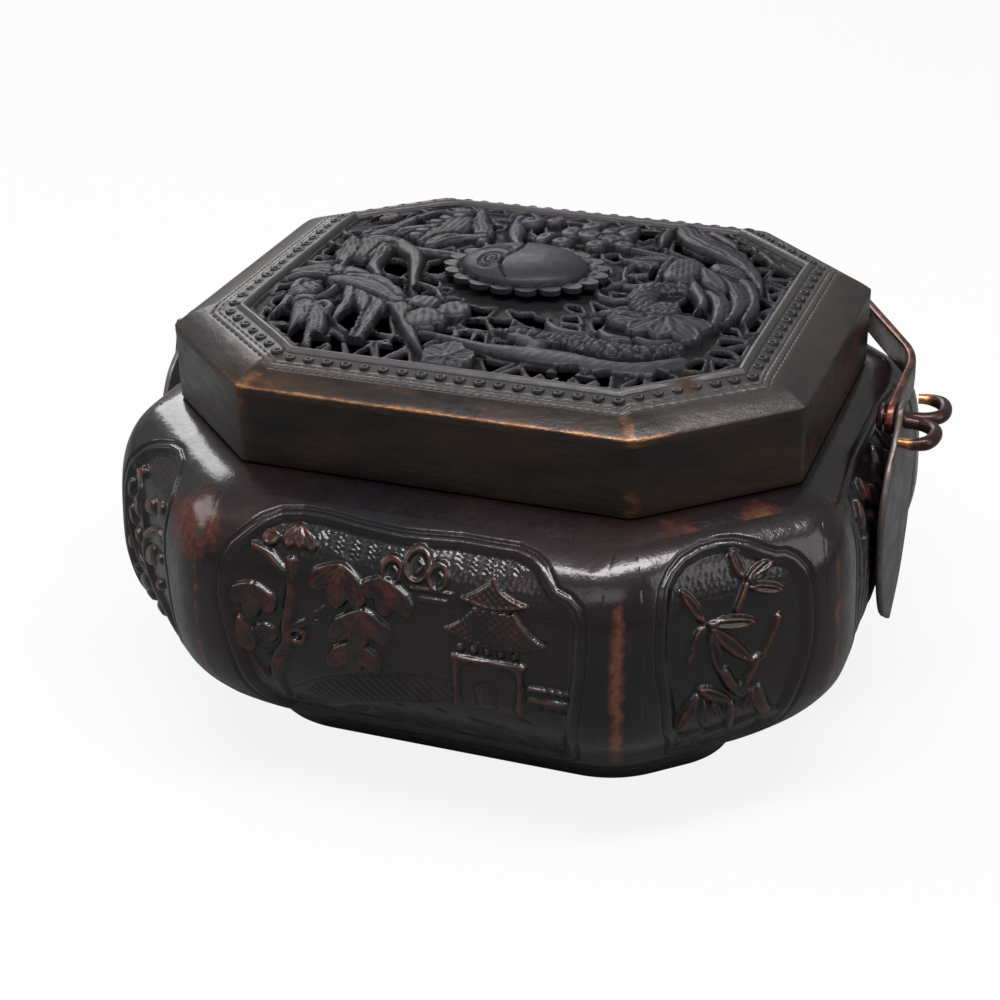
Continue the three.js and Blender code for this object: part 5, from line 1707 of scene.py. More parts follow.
class LidPicture(Relief):
    """Birds, dragon, plum blossom and clouds carved on the lid's field."""

    OPENINGS = (
        # Between the birds and the phoenix's feathers, at the front left
        ((-27.8, 1.2), (-25.6, 1.6), (-23.6, 0.2), (-22, -3.5), (-22, -6.8), (-24.2, -6.4),
         (-26.4, -3.8), (-27.6, -0.8)),
        ((-22.8, -8.6), (-20.2, -8.8), (-19.2, -13), (-20.4, -12.8), (-22.2, -10.4)),
        ((-19.4, 1.8), (-17.8, 4.2), (-15.8, 4.4), (-14.2, 2), (-13.6, -0.6), (-15.4, -1.8),
         (-16.6, -4.8), (-18, -4.4)),
        ((-13, -1.6), (-11.9, -3.8), (-12.8, -4.2), (-13.8, -2.2)),
        ((-18.2, -6.6), (-15, -6), (-13.8, -8.8), (-14.4, -9.8), (-16.8, -8.4)),
        ((-16.8, -10.6), (-15.2, -11.4), (-16, -14.4), (-17.4, -12.6)),
        ((-14.4, -12.2), (-12.8, -12.4), (-12.4, -14.4), (-14.8, -14.8)),
        ((-13, -9.6), (-11.2, -9.4), (-11.4, -10.8), (-12.6, -10.6)),
        ((-9.8, -13.2), (-7.4, -13.4), (-7.8, -15.4), (-9.4, -15.2)),
        ((-24.8, -21.6), (-23.6, -22.4), (-22, -25), (-21, -30.6), (-22.6, -30), (-25.4, -27.6),
         (-25.2, -24)),
        ((-18.8, -23), (-17.6, -22.6), (-16.4, -25.6), (-14.2, -29.6), (-16.6, -29.6),
         (-18.4, -27.8)),
        ((-18.2, -29.4), (-15.8, -30.6), (-13.8, -31.4), (-15.6, -32.6), (-18.2, -32.6)),
        ((-13.4, -30.4), (-11.8, -30.8), (-10.2, -33), (-12, -33.6), (-13.2, -32.4)),
        ((-24.6, -31.4), (-22.4, -33), (-20.8, -34.4), (-22.6, -36), (-23.8, -34.6)),
        ((-31.4, -30), (-29.8, -30.2), (-28.2, -35.8), (-29.4, -36.4), (-31.8, -34)),
        ((-36.4, -30.4), (-33.4, -30.6), (-32.4, -33.2), (-33.6, -32.8)),
        ((-37.2, -25), (-35.6, -25.4), (-34, -29), (-37.6, -28.8)),
        ((-40.6, -24.4), (-38.8, -25.8), (-38.6, -27.8), (-39.8, -27)),
        ((-40.8, -20), (-39.4, -17.4), (-38.9, -23.2), (-40.2, -22.2)),
        ((-36.2, -11.8), (-33.8, -12.4), (-33.6, -14.6), (-34.4, -15)),
        ((-32.8, -16.2), (-31.8, -16), (-32, -18.2), (-32.8, -18.6)),
        ((-32.4, -20.8), (-31, -19.4), (-29.4, -20.4), (-28, -18.6), (-27.2, -21.6),
         (-27.4, -23.6), (-29, -22), (-30.6, -21.4), (-31.8, -22.2)),
        ((-36.6, -2.8), (-35, -3.6), (-34.8, -5), (-36, -4.2)),
        ((-33, -2), (-30, -2.4), (-30.2, -4.6), (-32.2, -4.4)),
        # Under the petals and along the front
        ((-4.6, -15.8), (-2.4, -16.4), (-0.4, -15.4), (-0.6, -19.2), (-2.8, -19.8), (-4, -18)),
        ((2.4, -15.6), (4.2, -16.6), (6.4, -15.6), (7.6, -17), (9.6, -17.2), (10.6, -21.4),
         (7.2, -20.6), (4.4, -18.6)),
        ((0, -19.6), (4.2, -19.4), (4.6, -24), (3.2, -24), (1, -21.6)),
        ((-3.6, -21.2), (-2, -20.6), (-0.4, -20.8), (1.6, -24.2), (-1.8, -24.4), (-3.6, -23.4)),
        ((-7.8, -26), (-4.6, -25.2), (-3.8, -27.6), (-5.2, -28.4), (-7, -27.6)),
        ((-2.8, -25.8), (-0.6, -25.6), (-0.4, -28.6), (-2.2, -28.6)),
        ((0.3, -25.6), (1.6, -26.4), (2.4, -28.9), (0.2, -28.9)),
        ((-9.4, -29.4), (-6, -29.4), (-7.4, -31.8), (-8.8, -31)),
        ((6, -22), (8.6, -21.6), (8.4, -23.3), (6.8, -23.2)),
        ((4, -27), (5.2, -27.9), (7.4, -27.2), (7.6, -28.8), (4.8, -29)),
        ((12.6, -15.4), (14.4, -14.8), (15.8, -17.4), (12.8, -17.4)),
        ((11.2, -10.2), (13.6, -10.6), (15, -13), (14, -13.2), (12, -11.8)),
        ((13.4, -18.6), (16, -19), (17, -21.8), (15.4, -21.6), (13.6, -19.8)),
        ((15.2, -7.8), (18, -9.8), (20, -10.2), (18, -13), (16.8, -11)),
        ((17.8, -15), (19.6, -14.4), (20, -19.6), (19.2, -19), (18, -16.6)),
        ((0.6, -32.6), (3.4, -32.9), (5, -33.9), (2, -33.7)),
        ((17, -33.8), (20.4, -33), (21.2, -34.2), (20.2, -37), (18.8, -37)),
        ((23.8, -34.2), (26.2, -33), (27.2, -37.2), (25.6, -36.6)),
        ((33.6, -30.6), (36.6, -30.6), (36.2, -32), (33.4, -33.6)),
        ((29.8, -36.6), (31.6, -32.6), (32.4, -35.2)),
        ((37.6, -27.4), (38.4, -24), (39.6, -23.2), (40, -26.8)),
        # About the dragon and down the right
        ((40.2, -19.6), (42.6, -18.8), (44.6, -21.2), (40, -21.6)),
        ((40.4, -14.6), (43.8, -13.2), (44, -14.4), (41.4, -17.6), (40.6, -17.4)),
        ((42.8, -17.6), (44.8, -15.2), (45.2, -19.4)),
        ((41.2, -22.8), (44, -23.2), (42.2, -25.6)),
        ((38.6, -10), (41.4, -9.6), (42.8, -12.2), (40.2, -12.6)),
        ((43.8, -3.8), (45.2, -5), (45.2, -7.6), (44, -9.4), (43, -6.6)),
        ((34.2, -5.6), (35.4, -6), (36.6, -11), (34.6, -10.8), (33.6, -8)),
        ((30.4, 0.4), (31.6, -1.4), (32.6, -3.6), (33, -6.2), (31.4, -7), (30.2, -4.6), (29.6, -3)),
        ((31.2, -9.4), (32.6, -7.4), (32.8, -9), (31.6, -10)),
        ((17, -2.4), (20, -2.8), (19.6, -4.6), (18.4, -5.4)),
        ((14.2, 3.6), (15.2, 2), (16, -0.4), (15.2, -0.6), (14.2, 1.6)),
        ((17.4, 4.2), (19, 2), (20.4, 0.8), (22.4, 2.6), (20.4, 3.2), (18.6, 4.6)),
        ((11.2, 7.8), (12.8, 8.6), (13.6, 6.8), (12, 5.6)),
        ((18, 9.6), (20, 8.4), (19.6, 6.4), (18, 6.2)),
        ((21, 10.8), (22.4, 9.6), (22.4, 6.2), (21.6, 5.4), (20.8, 7.6)),
        ((25.2, 4.4), (27.4, 4.2), (26.6, 2.8)),
        ((42, 5.6), (44.8, 3.4), (43.6, 0.6), (42.6, 2.6)),
        ((43.8, -1.6), (45.2, 1), (45.2, -3.2), (44.4, -2.8)),
        ((43.4, 8), (45.2, 9.6), (45.2, 5.4), (44.2, 6)),
        ((42, 12.2), (44.6, 11), (43, 8.8)),
        ((41.6, 14.6), (44.6, 16.2), (45.2, 13.4)),
        # At the back
        ((15.4, 20.6), (17, 22.6), (19.6, 22), (19.8, 20.2), (18.2, 18.2), (17, 19.8)),
        ((20.2, 28), (21.6, 27), (22.4, 24.2), (25, 21.8), (27.4, 20.2), (29.6, 19.8),
         (30.6, 18.4), (29.8, 14.4), (28.8, 16.8), (26.4, 18.8), (23.6, 20.4), (21.4, 22)),
        ((22, 18.2), (23.8, 17.2), (22.4, 16.4)),
        ((8.8, 15.6), (9.8, 13.6), (9.4, 11.6), (8.2, 13.6)),
        ((10.4, 14.8), (12, 16.8), (13, 14.6), (14.4, 13.4), (12.8, 12.4), (11.2, 13.2)),
        ((16.2, 16), (17.8, 16.4), (17, 14.2), (16.2, 13.4)),
        ((3.8, 12.6), (5.4, 13.2), (5.6, 11.6), (4.6, 10.4)),
        ((-7.8, 13.4), (-5, 13), (-3.8, 12), (-6.4, 10.4), (-7.2, 11.2)),
        ((-1.6, 13.6), (0.8, 13.8), (1.6, 12.8), (-0.8, 12)),
        ((2.8, 18.2), (4.6, 18.8), (5.8, 16.6), (4.2, 15.8)),
        ((5.4, 32.6), (8, 32.4), (7.8, 28.8), (6.6, 28)),
        ((12, 33), (15.4, 33), (15.6, 28), (14.4, 25.6), (13.2, 26.4), (12.4, 29.4)),
        ((-3, 33), (1.6, 32.6), (0.6, 28.4), (-1, 29.6)),
        ((32.2, 29), (34, 29.6), (35.8, 25.6), (34.4, 23.8), (33, 25)),
        ((36.4, 24.8), (38.6, 23.6), (39.6, 21), (37.4, 19.4), (36.6, 21.6)),
        ((37.8, 18.4), (40.2, 19.2), (40, 15.2), (38.6, 16.4)),
        ((41.2, 20), (44.6, 18.4), (44, 17.2), (41.6, 16.2)),
        ((-16.4, 9.6), (-15, 12), (-13.4, 12.6), (-11.8, 10.4), (-11.8, 7.6), (-13.6, 5.8),
         (-15, 6.6)),
        ((-21.2, 6.8), (-20, 8.6), (-18.4, 10), (-17.8, 8.6), (-19.2, 6.8)),
        ((-12.6, 5.4), (-11.4, 3.4), (-11.2, 1.2), (-12.4, 2.6)),
        ((-32.2, 12), (-29.8, 14), (-27.4, 11), (-28.6, 9.8), (-31, 10.8)),
        ((-31, 24.6), (-29, 23.4), (-27, 22.2), (-28, 20.4), (-30, 20.4)),
        ((-16.8, 29), (-14.4, 30), (-13, 27.6), (-15, 27)),
        ((-17, 25), (-15.4, 25.6), (-13.4, 25.2), (-13.4, 23.6), (-14.6, 22.4)),
        ((-7.4, 25.6), (-6.2, 27.8), (-5.2, 25), (-4, 22.6), (-5.2, 21.8), (-6.8, 23.4)),
        ((-7.6, 20), (-6, 19.8), (-4.8, 17.4), (-3, 15.4), (-4.2, 15), (-6.4, 16.8)),
        ((-41.6, 15.4), (-38.8, 15.6), (-37.6, 14.6), (-38.2, 12.2), (-39.6, 13.4)),
        ((-41.2, 11.6), (-39.6, 11.4), (-39, 8.4), (-40.2, 9)),
        ((-42, 4.4), (-41, 6.8), (-39.6, 5.4), (-38.2, 3.6), (-39.4, 1.8), (-41, 2.4)),
        ((-42, 1), (-40.6, 0.2), (-40.4, -2), (-41.6, -1)),
        ((-38, 17.6), (-35, 20), (-35.2, 16.6), (-36.8, 16)),
        ((-41, 22), (-38.6, 25), (-38.2, 21.4)),
        ((-37, 27), (-34.6, 29), (-34.4, 25.4)),
        ((-33, 24.6), (-32, 27.6), (-31.6, 24.2)),
        ((27.4, 36.8), (30.4, 35.2), (28.6, 33)),
        ((31, 33.8), (34, 31.6), (31.4, 31)),
        ((35.4, 30.4), (38, 27.8), (36.2, 27)),
        ((41, 24.4), (43.4, 21.8), (41.2, 21.6)),
        ((16.2, 32.6), (17, 32.6), (16.8, 27), (16.2, 29)),
        ((-42.6, -14), (-40.8, -12.6), (-40.4, -16.4), (-42, -17.6)),
        ((-23.4, 29), (-22, 30.4), (-21.4, 27.8)),
        ((-9.6, 33), (-7, 32.6), (-7.4, 29.4), (-9, 29.8)),
    )

    def plume(self, points: list, widths: float | tuple, level: float = 1.3,
              barbs: float = 0.85) -> Form:
        """A feather or lock: a rounded band combed along its length."""
        form = self.raise_form(self.path(points, widths), level, bevel=0.7, crown=0.5)
        self.outlined(form)
        self.comb(form, form.across + 0.2 * np.sin(form.along * 0.9), barbs * 1.1, 0.24, 0.3)
        return form

    def outlined(self, form: Form) -> None:
        """Cut a thin line round a form, so that it parts from what it lies on."""
        self.height[form.spot] -= 0.6 * peak(form.inside + 0.12, 0.26)

    def lump(self, centre: tuple, radii: tuple, degrees: float, level: float,
             comb: float = 0.0) -> Form:
        """A rounded mass, combed along its own length where a pitch is given."""
        form = self.raise_form(self.oval(centre, radii, degrees), level, bevel=min(radii) * 0.55)
        self.outlined(form)
        if comb:
            self.hatch(form, degrees + 100, comb * 1.15, 0.2)
            self.hatch(form, degrees + 62, comb * 2.6, 0.1)
        return form

    def scaly(self, points: list, widths: float | tuple, level: float = 1.4) -> Form:
        """A scaled body along a line."""
        form = self.line(points, widths, level, crown=0.3)
        self.scales(form, form.along, form.across, 1.9, 0.6)
        return form

    def blossom(self, centre: tuple, radius: float, petals: int, turn: float,
                level: float = 1.1) -> None:
        """A flower of rounded petals about a small eye."""
        for k in range(petals):
            angle = math.radians(turn + 360 * k / petals)
            tip = (centre[0] + radius * math.cos(angle), centre[1] + radius * math.sin(angle))
            form = self.raise_form(self.leaf(centre, tip, radius * 1.05), level, bevel=0.6,
                                   rim=0.25)
            self.comb(form, form.across, 0.9, 0.1, 0.8)
        self.raise_form(self.oval(centre, (radius * 0.22, radius * 0.22)), level + 0.25)

    def carve(self) -> None:
        """Raise every figure over low ground, then cut the openings between them."""
        self.left_back()
        self.back()
        self.crane()
        self.phoenix()
        self.dragon()
        self.front()
        for corners in self.OPENINGS:
            self.open_up(self.shape(list(corners)))
        self.open_up(self.path([(13, -28.6), (14.2, -27.6), (16.4, -27.9), (20, -29.1),
                                (25.6, -29.8), (29.6, -29), (32, -27), (34.6, -23.6)],
                               (0.5, 1.0, 0.9, 1.1, 1.0, 0.6)))

    def open_up(self, form: Form) -> None:
        """Cut an opening right through."""
        self.cover[form.spot] = np.minimum(self.cover[form.spot], -form.inside)

    def phoenix(self) -> None:
        """The bird at the front left: crest, arched back and long hanging feathers."""
        for line, widths, level in (([(-29.6, -11), (-27, -16), (-26.4, -21), (-26, -25),
                                      (-25.6, -28)], (4.0, 4.4, 3.0, 1.4), 1.2),
                                    ([(-26, -12), (-23.6, -18), (-21.6, -24), (-20.4, -29),
                                      (-19.8, -33.2)], (4.6, 4.4, 3.4, 2.4), 1.35),
                                    ([(-24, -14), (-20.4, -19), (-19.6, -25), (-18.8, -31),
                                      (-18.6, -34.6)], (3.6, 3.6, 2.4, 1.6), 1.3),
                                    ([(-36.8, -19), (-33.4, -22.6), (-30, -27.6), (-27.6, -32),
                                      (-26.8, -37)], (4.6, 5.4, 5.2, 4.2, 2.2), 1.4),
                                    ([(-33.6, -24), (-32.4, -28), (-31.6, -33.6)], (4.0, 3.2, 0.8),
                                     1.1), ([(-38.2, -19), (-37.6, -23.4), (-38.2, -28.4)],
                                            (2.4, 2.0, 0.8), 1.0),
                                    ([(-25, -12.6), (-18.4, -17.2), (-14.4, -23), (-11.6, -28),
                                      (-8.2, -33), (-6.2, -35.4)], (5.6, 5.6, 4.6, 3.2, 2.2, 0.9),
                                     1.55), ([(-34, -12.4), (-31, -11.8), (-27, -12), (-22, -14.4),
                                              (-17.4, -18)], (2.6, 4.6, 6.0, 5.4, 3.6), 1.7),
                                    ([(-31, -9.6), (-25.6, -10), (-21, -12.6), (-17.6, -16.6)],
                                     (1.6, 2.8, 2.6, 1.6), 1.45)):
            self.plume(line, widths, level, 0.8)
        self.lump((-36.2, -17), (3.0, 3.4), -35, 1.5, 0.9)
        self.groove([(-38.6, -13.6), (-36.6, -17), (-33.6, -19.4)], 0.5, 0.5)
        self.groove([(-37, -13.8), (-35, -16.4), (-33.4, -17)], 0.4, 0.35)
        self.plume([(-38.8, -17), (-38.4, -13), (-36.6, -12.8)], (1.8, 2.4, 1.2), 1.3)
        self.line([(-31.4, -24.4), (-30, -22.4), (-28.4, -23.2), (-28.2, -25.4)], (1.6, 2.4, 1.8),
                  1.35)
        self.line([(-32.2, -19.8), (-31.2, -17.6), (-31.2, -15)], (1.0, 1.4), 1.1)

    def crane(self) -> None:
        """The bird at the left: feathered back, bent neck, leg and wing ropes."""
        self.plume([(-24.6, -7.4), (-20.6, -8.4), (-20, -8)], 1.4, 0.8)
        self.plume([(-42, -8), (-38, -6.6), (-33, -7), (-28, -8.6), (-23, -10.4)],
                   (3.4, 5.0, 4.6, 3.6, 2.2), 1.15, 1.0)
        self.lump((-33.2, 4.6), (5.4, 6.4), 20, 1.9, 0.95)
        self.plume([(-38.6, 9.4), (-36.6, 3), (-35.4, -2.4), (-33.8, -8)], (3.2, 4.4, 3.2, 2.0),
                   1.4, 0.95)
        self.plume([(-34.4, 10.2), (-30, 9.4), (-26.2, 6.2), (-23, 3), (-21, -1.6), (-19.6, -5.6),
                    (-17.6, -11), (-16, -15)], (2.4, 4.0, 4.0, 3.2, 2.6, 2.0, 1.8, 1.6), 1.6, 1.2)
        self.plume([(-29.6, 6), (-29.4, 1), (-28.8, -3), (-25.6, -8)], (3.0, 3.4, 2.6, 1.6), 1.2,
                   0.95)
        self.line([(-24.4, 5.8), (-20, 5.6), (-16, 5.4), (-13.6, 4)], (3.0, 2.4, 2.0, 1.6), 1.15)
        self.line([(-17.6, -4.8), (-15.4, -5.4), (-13.4, -4.8)], (0.9, 1.2), 0.6)
        self.line([(-12.6, 13), (-11.2, 9.6), (-10.4, 7.2)], (1.0, 1.4), 0.7)
        for line in ([(-42.6, 8), (-39.4, 4.8), (-37.4, 0)], [(-42, -3), (-39.6, -4), (-37, -3)],
                     [(-42.4, 14), (-39, 9.4), (-38, 7)],
                     [(-42.6, -12), (-40.6, -9.4), (-36, -9.2)]):
            self.line(line, (1.2, 2.0, 1.2), 0.85)

    def left_back(self) -> None:
        """The bird and rocks at the back left."""
        self.lump((-22.6, 18.6), (4.8, 9.4), -10, 1.75, 1.1)
        for spot in ((-26.8, 12.6), (-26.6, 15.4), (-25.8, 18.2), (-26, 21), (-25, 24),
                     (-23, 26.2)):
            self.lump(spot, (1.7, 1.5), 0, 1.55)
        self.plume([(-37, 13), (-33.6, 14.6), (-30.4, 16.4), (-27.6, 18.6)], (3.6, 4.2, 3.4, 2.2),
                   1.2, 1.1)
        self.plume([(-37.4, 8.6), (-34.6, 12.4), (-32.6, 18), (-31, 24), (-29, 29)],
                   (2.0, 3.2, 3.6, 2.4, 1.6), 1.1, 1.1)
        self.plume([(-20.4, 31.6), (-19.2, 28), (-17, 23), (-15, 18), (-13.6, 13.6)],
                   (2.4, 3.0, 4.0, 4.4, 2.6), 1.35, 1.0)
        self.plume([(-22.4, 9.4), (-20.6, 12.6), (-17.6, 15), (-14, 16)], (3.2, 3.6, 3.0, 2.0), 1.2,
                   1.0)
        self.plume([(-12, 31), (-11, 26.4), (-9.6, 21.6), (-8, 16.6), (-6.6, 14)],
                   (2.2, 2.8, 3.6, 3.0, 1.6), 1.2, 1.0)
        self.lump((-37.6, 24), (3.2, 2.6), 40, 1.0, 1.0)
        self.lump((-25, 31), (3.6, 2.0), 15, 1.0, 1.0)

    def back(self) -> None:
        """Clouds at the back, and the long-necked creature at the back right."""
        for centre, radii in (((1.2, 24.4), (2.8, 3.6)), ((5.4, 23.6), (3.2, 3.0)),
                              ((10, 22.4), (3.4, 3.4)), ((8.2, 27.6), (2.6, 3.0)),
                              ((11.4, 28.6), (2.0, 4.0)), ((3.4, 30), (2.4, 3.6)),
                              ((-3, 19.6), (1.6, 3.4)), ((0.8, 18), (2.2, 2.4)),
                              ((7.4, 18.4), (2.2, 2.6)), ((-8.6, 29), (2.4, 3.2)),
                              ((12.6, 19.6), (2.2, 2.0)), ((-4.6, 30.4), (1.8, 2.4))):
            cloud = self.lump(centre, radii, -12, 1.35)
            self.comb(cloud, cloud.along * min(radii) + 0.5 * cloud.across, 2.1, 0.24, 0.5)
        self.plume([(19.6, 37), (22.4, 31.6), (25.4, 27), (30, 23.4), (34.4, 19.4), (38.2, 14.4),
                    (41.6, 7.4)], (3.6, 6.4, 6.4, 5.6, 4.2, 3.2, 1.2), 1.8, 1.1)
        self.plume([(26, 33.6), (29.6, 30), (33, 26), (35.8, 20.6)], (2.6, 3.0, 2.2, 1.2), 1.3)
        self.line([(35, 29), (38, 25.6), (41, 21.6), (45, 19.4)], 1.3, 0.7)
        self.plume([(17.4, 32.6), (18, 28), (18.6, 23.6)], (2.4, 2.6, 1.4), 1.2)
        self.groove([(22.6, 34), (25, 29.4), (29.6, 25.4), (33.6, 21.4)], 0.5, 0.45)
        for line in ([(14.6, 18.4), (18.6, 17.2), (23, 16.2)],
                     [(15, 12), (17.6, 11.6), (21, 12.4)]):
            self.line(line, (1.2, 1.8, 1.2), 0.9)

    def dragon(self) -> None:
        """The dragon at the right: maned head, coiled scaly body, tail and the blossom over it."""
        self.scaly([(30.4, 2.6), (27, 2.4), (23.6, 0.2), (23, -4), (24.6, -8), (27.6, -11)],
                   (3.4, 5.0, 5.4, 5.4, 5.0, 4.2), 1.7)
        for line, widths in (([(33, 13), (37.4, 10), (40.4, 5), (42, -1), (42, -7)],
                              (3.0, 3.4, 3.2, 2.6, 1.2)),
                             ([(31.6, 11), (36, 7.4), (39, 1.8), (39.8, -4), (39.2, -9.4)],
                              (3.2, 4.0, 3.8, 3.2, 1.4)),
                             ([(30, 8), (33.6, 3.4), (36.8, -2), (37.8, -7), (38, -13)],
                              (3.2, 3.8, 3.6, 2.8, 1.2)),
                             ([(29.4, 6), (31.6, 1.6), (33.8, -3), (33.8, -8)],
                              (2.2, 2.6, 2.2, 1.2))):
            self.plume(line, widths, 1.65, 0.8)
        self.lump((26.6, 9.6), (4.0, 6.6), 4, 2.1, 0.85)
        self.plume([(23, 14.6), (22.8, 9), (23.6, 3)], (1.4, 1.8, 1.0), 1.7, 0.8)
        self.lump((34.4, 12.6), (4.2, 2.4), -28, 1.9, 0.9)
        self.raise_form(self.leaf((29.8, 11.4), (36.6, 1.8), 3.4, Edge.POINTED), 2.15, bevel=0.6,
                        rim=0.25)
        self.groove([(29.8, 7.6), (31.4, 4.8), (33.6, 2.6), (36.2, 0.4)], 1.0, 1.2)
        self.lower(self.oval((36.6, 8.2), (1.4, 0.9), -20), 0.6)
        for line in ([(16, -0.6), (18, 1.6), (17.2, 4.4), (16.4, 8)],
                     [(16.6, 8.4), (18, 11), (20.6, 10.4), (21, 6.4), (18.4, 5)],
                     [(18.6, 0), (21.6, 0.6), (23.4, 3)], [(15.4, 11.6), (19, 14.6), (22.6, 15.4)],
                     [(14.2, -3), (16.4, -6.4), (19.4, -7), (21, -6)]):
            self.line(line, (1.0, 1.5, 1.1), 1.0)
        for tip, width in (((20.4, -16.8), 5.4), ((25.2, -19.8), 5.0), ((30.6, -20.2), 5.4),
                           ((37, -19.8), 5.8), ((38.4, -13.6), 5.0)):
            form = self.raise_form(self.leaf((29.6, -11.6), tip, width), 1.4, bevel=0.7, rim=0.3)
            self.comb(form, form.across, 1.2, 0.1, 0.8)
        self.blossom((28.8, -9.6), 2.7, 8, 0, 1.9)
        self.raise_form(self.leaf((22.6, -10), (20.4, -14.6), 4.2), 1.2, bevel=0.7, rim=0.2)
        self.plume([(18, -13), (22, -12.8), (25.6, -13.6)], (1.4, 2.4, 1.6), 1.1)

    def front(self) -> None:
        """The dragon's tail, the flat leaves below it, the blossom and the rock by the boss."""
        flat = self.line([(-9, -28.6), (-3, -29.6), (3, -30.8), (10, -31.2), (17, -31.4),
                          (26, -31.6), (31.4, -30.6), (36.6, -26.4)],
                         (1.4, 1.6, 2.6, 4.4, 4.6, 4.2, 4.4, 3.0), 0.7)
        self.hatch(flat, 62, 1.6, 0.05)
        self.line([(6.6, -25.6), (10, -26.6), (12, -28.4)], (2.4, 4.4, 3.0), 0.8)
        self.scaly([(2.4, -25), (8, -24.4), (13.6, -25.4), (19.6, -25.8), (26, -26.4), (31, -25),
                    (34.6, -21.4)], (1.4, 2.8, 4.8, 5.4, 5.2, 4.4, 2.4), 1.65)
        for spot in ((24.8, -27.4), (27.6, -27.6), (30.2, -26), (22, -27.4)):
            self.raise_form(self.oval(spot, (1.1, 1.0)), 2.1, bevel=0.8)
        for line in ([(11, -20), (13.4, -22.2), (19, -22.6)],
                     [(20.6, -20.6), (22.6, -22.4), (26, -22.2)],
                     [(27.4, -21.6), (30.6, -22.4), (33, -20.6)]):
            self.line(line, (1.4, 2.4, 1.4), 1.1)
        self.blossom((-1.4, -36.4), 4.8, 5, 90, 1.3)
        self.lump((-9.8, -23.4), (3.8, 4.6), 10, 1.5, 1.2)
        self.lump((-12.6, -17.8), (3.6, 2.6), -12, 1.4, 1.3)
        self.lump((-6.6, -19), (3.2, 3.4), 20, 1.1, 1.3)
        self.line([(-17.4, -9.4), (-13.4, -11.2), (-11, -14.4)], (1.0, 1.2), 0.6)


@dataclass
class PunchedRings:
    """Ring punches along the border, each a low ring about a bead."""

    lid: Lid
    spacing: float = 3.45
    depth: float = 2.95

    def bead(self) -> bpy.types.Object:
        """One ring and bead, a few dozen faces."""
        profile = np.array([(1.12, -0.25), (1.08, 0.18), (0.92, 0.12), (0.76, 0.3), (0.56, 0.3),
                            (0.4, 0.1), (0.22, 0.08)])
        angle = np.linspace(0, 2 * math.pi, 13)[:-1]
        rows = [np.c_[r * np.cos(angle), r * np.sin(angle), np.full(12, z)] for r, z in profile]
        points = np.concatenate([*rows, [[0, 0, 0.12], [0, 0, -0.25]]])
        # Painted shade in the groove round the ring and in its low middle; the ring's top stays
        # light
        dark = np.r_[np.repeat([0.5, 0.6, 1.0, 0.1, 0.0, 0.8, 0.9], 12), 0.8, 0.5]
        worn = np.r_[np.repeat([0.0, 0.0, 0.0, 0.6, 0.7, 0.0, 0.0], 12), 0.0, 0.0]
        last = (len(profile) - 1) * 12
        cap, sole = fan(last, 12, len(points) - 2), fan(0, 12, len(points) - 1)[:, ::-1]
        return make_piece("bead_pattern", points, [grid_faces(len(profile), 12, around=True), cap,
                                                   sole], {"crevice": dark, "wear": worn})

    def track(self) -> bpy.types.Object:
        """The line that the rings follow, on the border's surface."""
        place, _, _ = around_plan(self.lid.band_plan(self.depth), (60, 24, 70))
        flat = place[0] + np.array([self.lid.centre_x, 0])
        z = self.lid.top + self.lid.rise(flat[:, 0], flat[:, 1]) - 0.25
        return lines_object("ring_track", [(np.c_[flat, z], np.ones(len(flat)))], closed=True)

    def build(self) -> bpy.types.Object:
        """Repeat the bead along the track.

        Returns:
            The rings as one mesh.
        """
        bead, track = self.bead(), self.track()
        tree, start, (spacing, pattern) = open_group(
            "punched rings", {"Spacing": "NodeSocketFloat", "Bead": "NodeSocketObject"})
        points = add(tree, "GeometryNodeResampleCurve",
                     {"Curve": start.outputs[0], "Length": start.outputs[1]}, mode="LENGTH")
        info = add(tree, "GeometryNodeObjectInfo", {"Object": start.outputs[2]})
        size = add(tree, "FunctionNodeRandomValue", {2: 0.86, 3: 1.08, "Seed": 4},
                   data_type="FLOAT")
        copies = add(tree, "GeometryNodeInstanceOnPoints",
                     {"Points": points.outputs[0], "Instance": info.outputs["Geometry"],
                      "Scale": size.outputs[1]})
        close_group(tree, copies, PIERCED_BRONZE)
        modifier = track.modifiers.new("rings", "NODES")
        modifier.node_group = tree
        modifier[spacing] = self.spacing * MM
        modifier[pattern] = bead
        return settled(track, "lid_punched_rings", [bead])


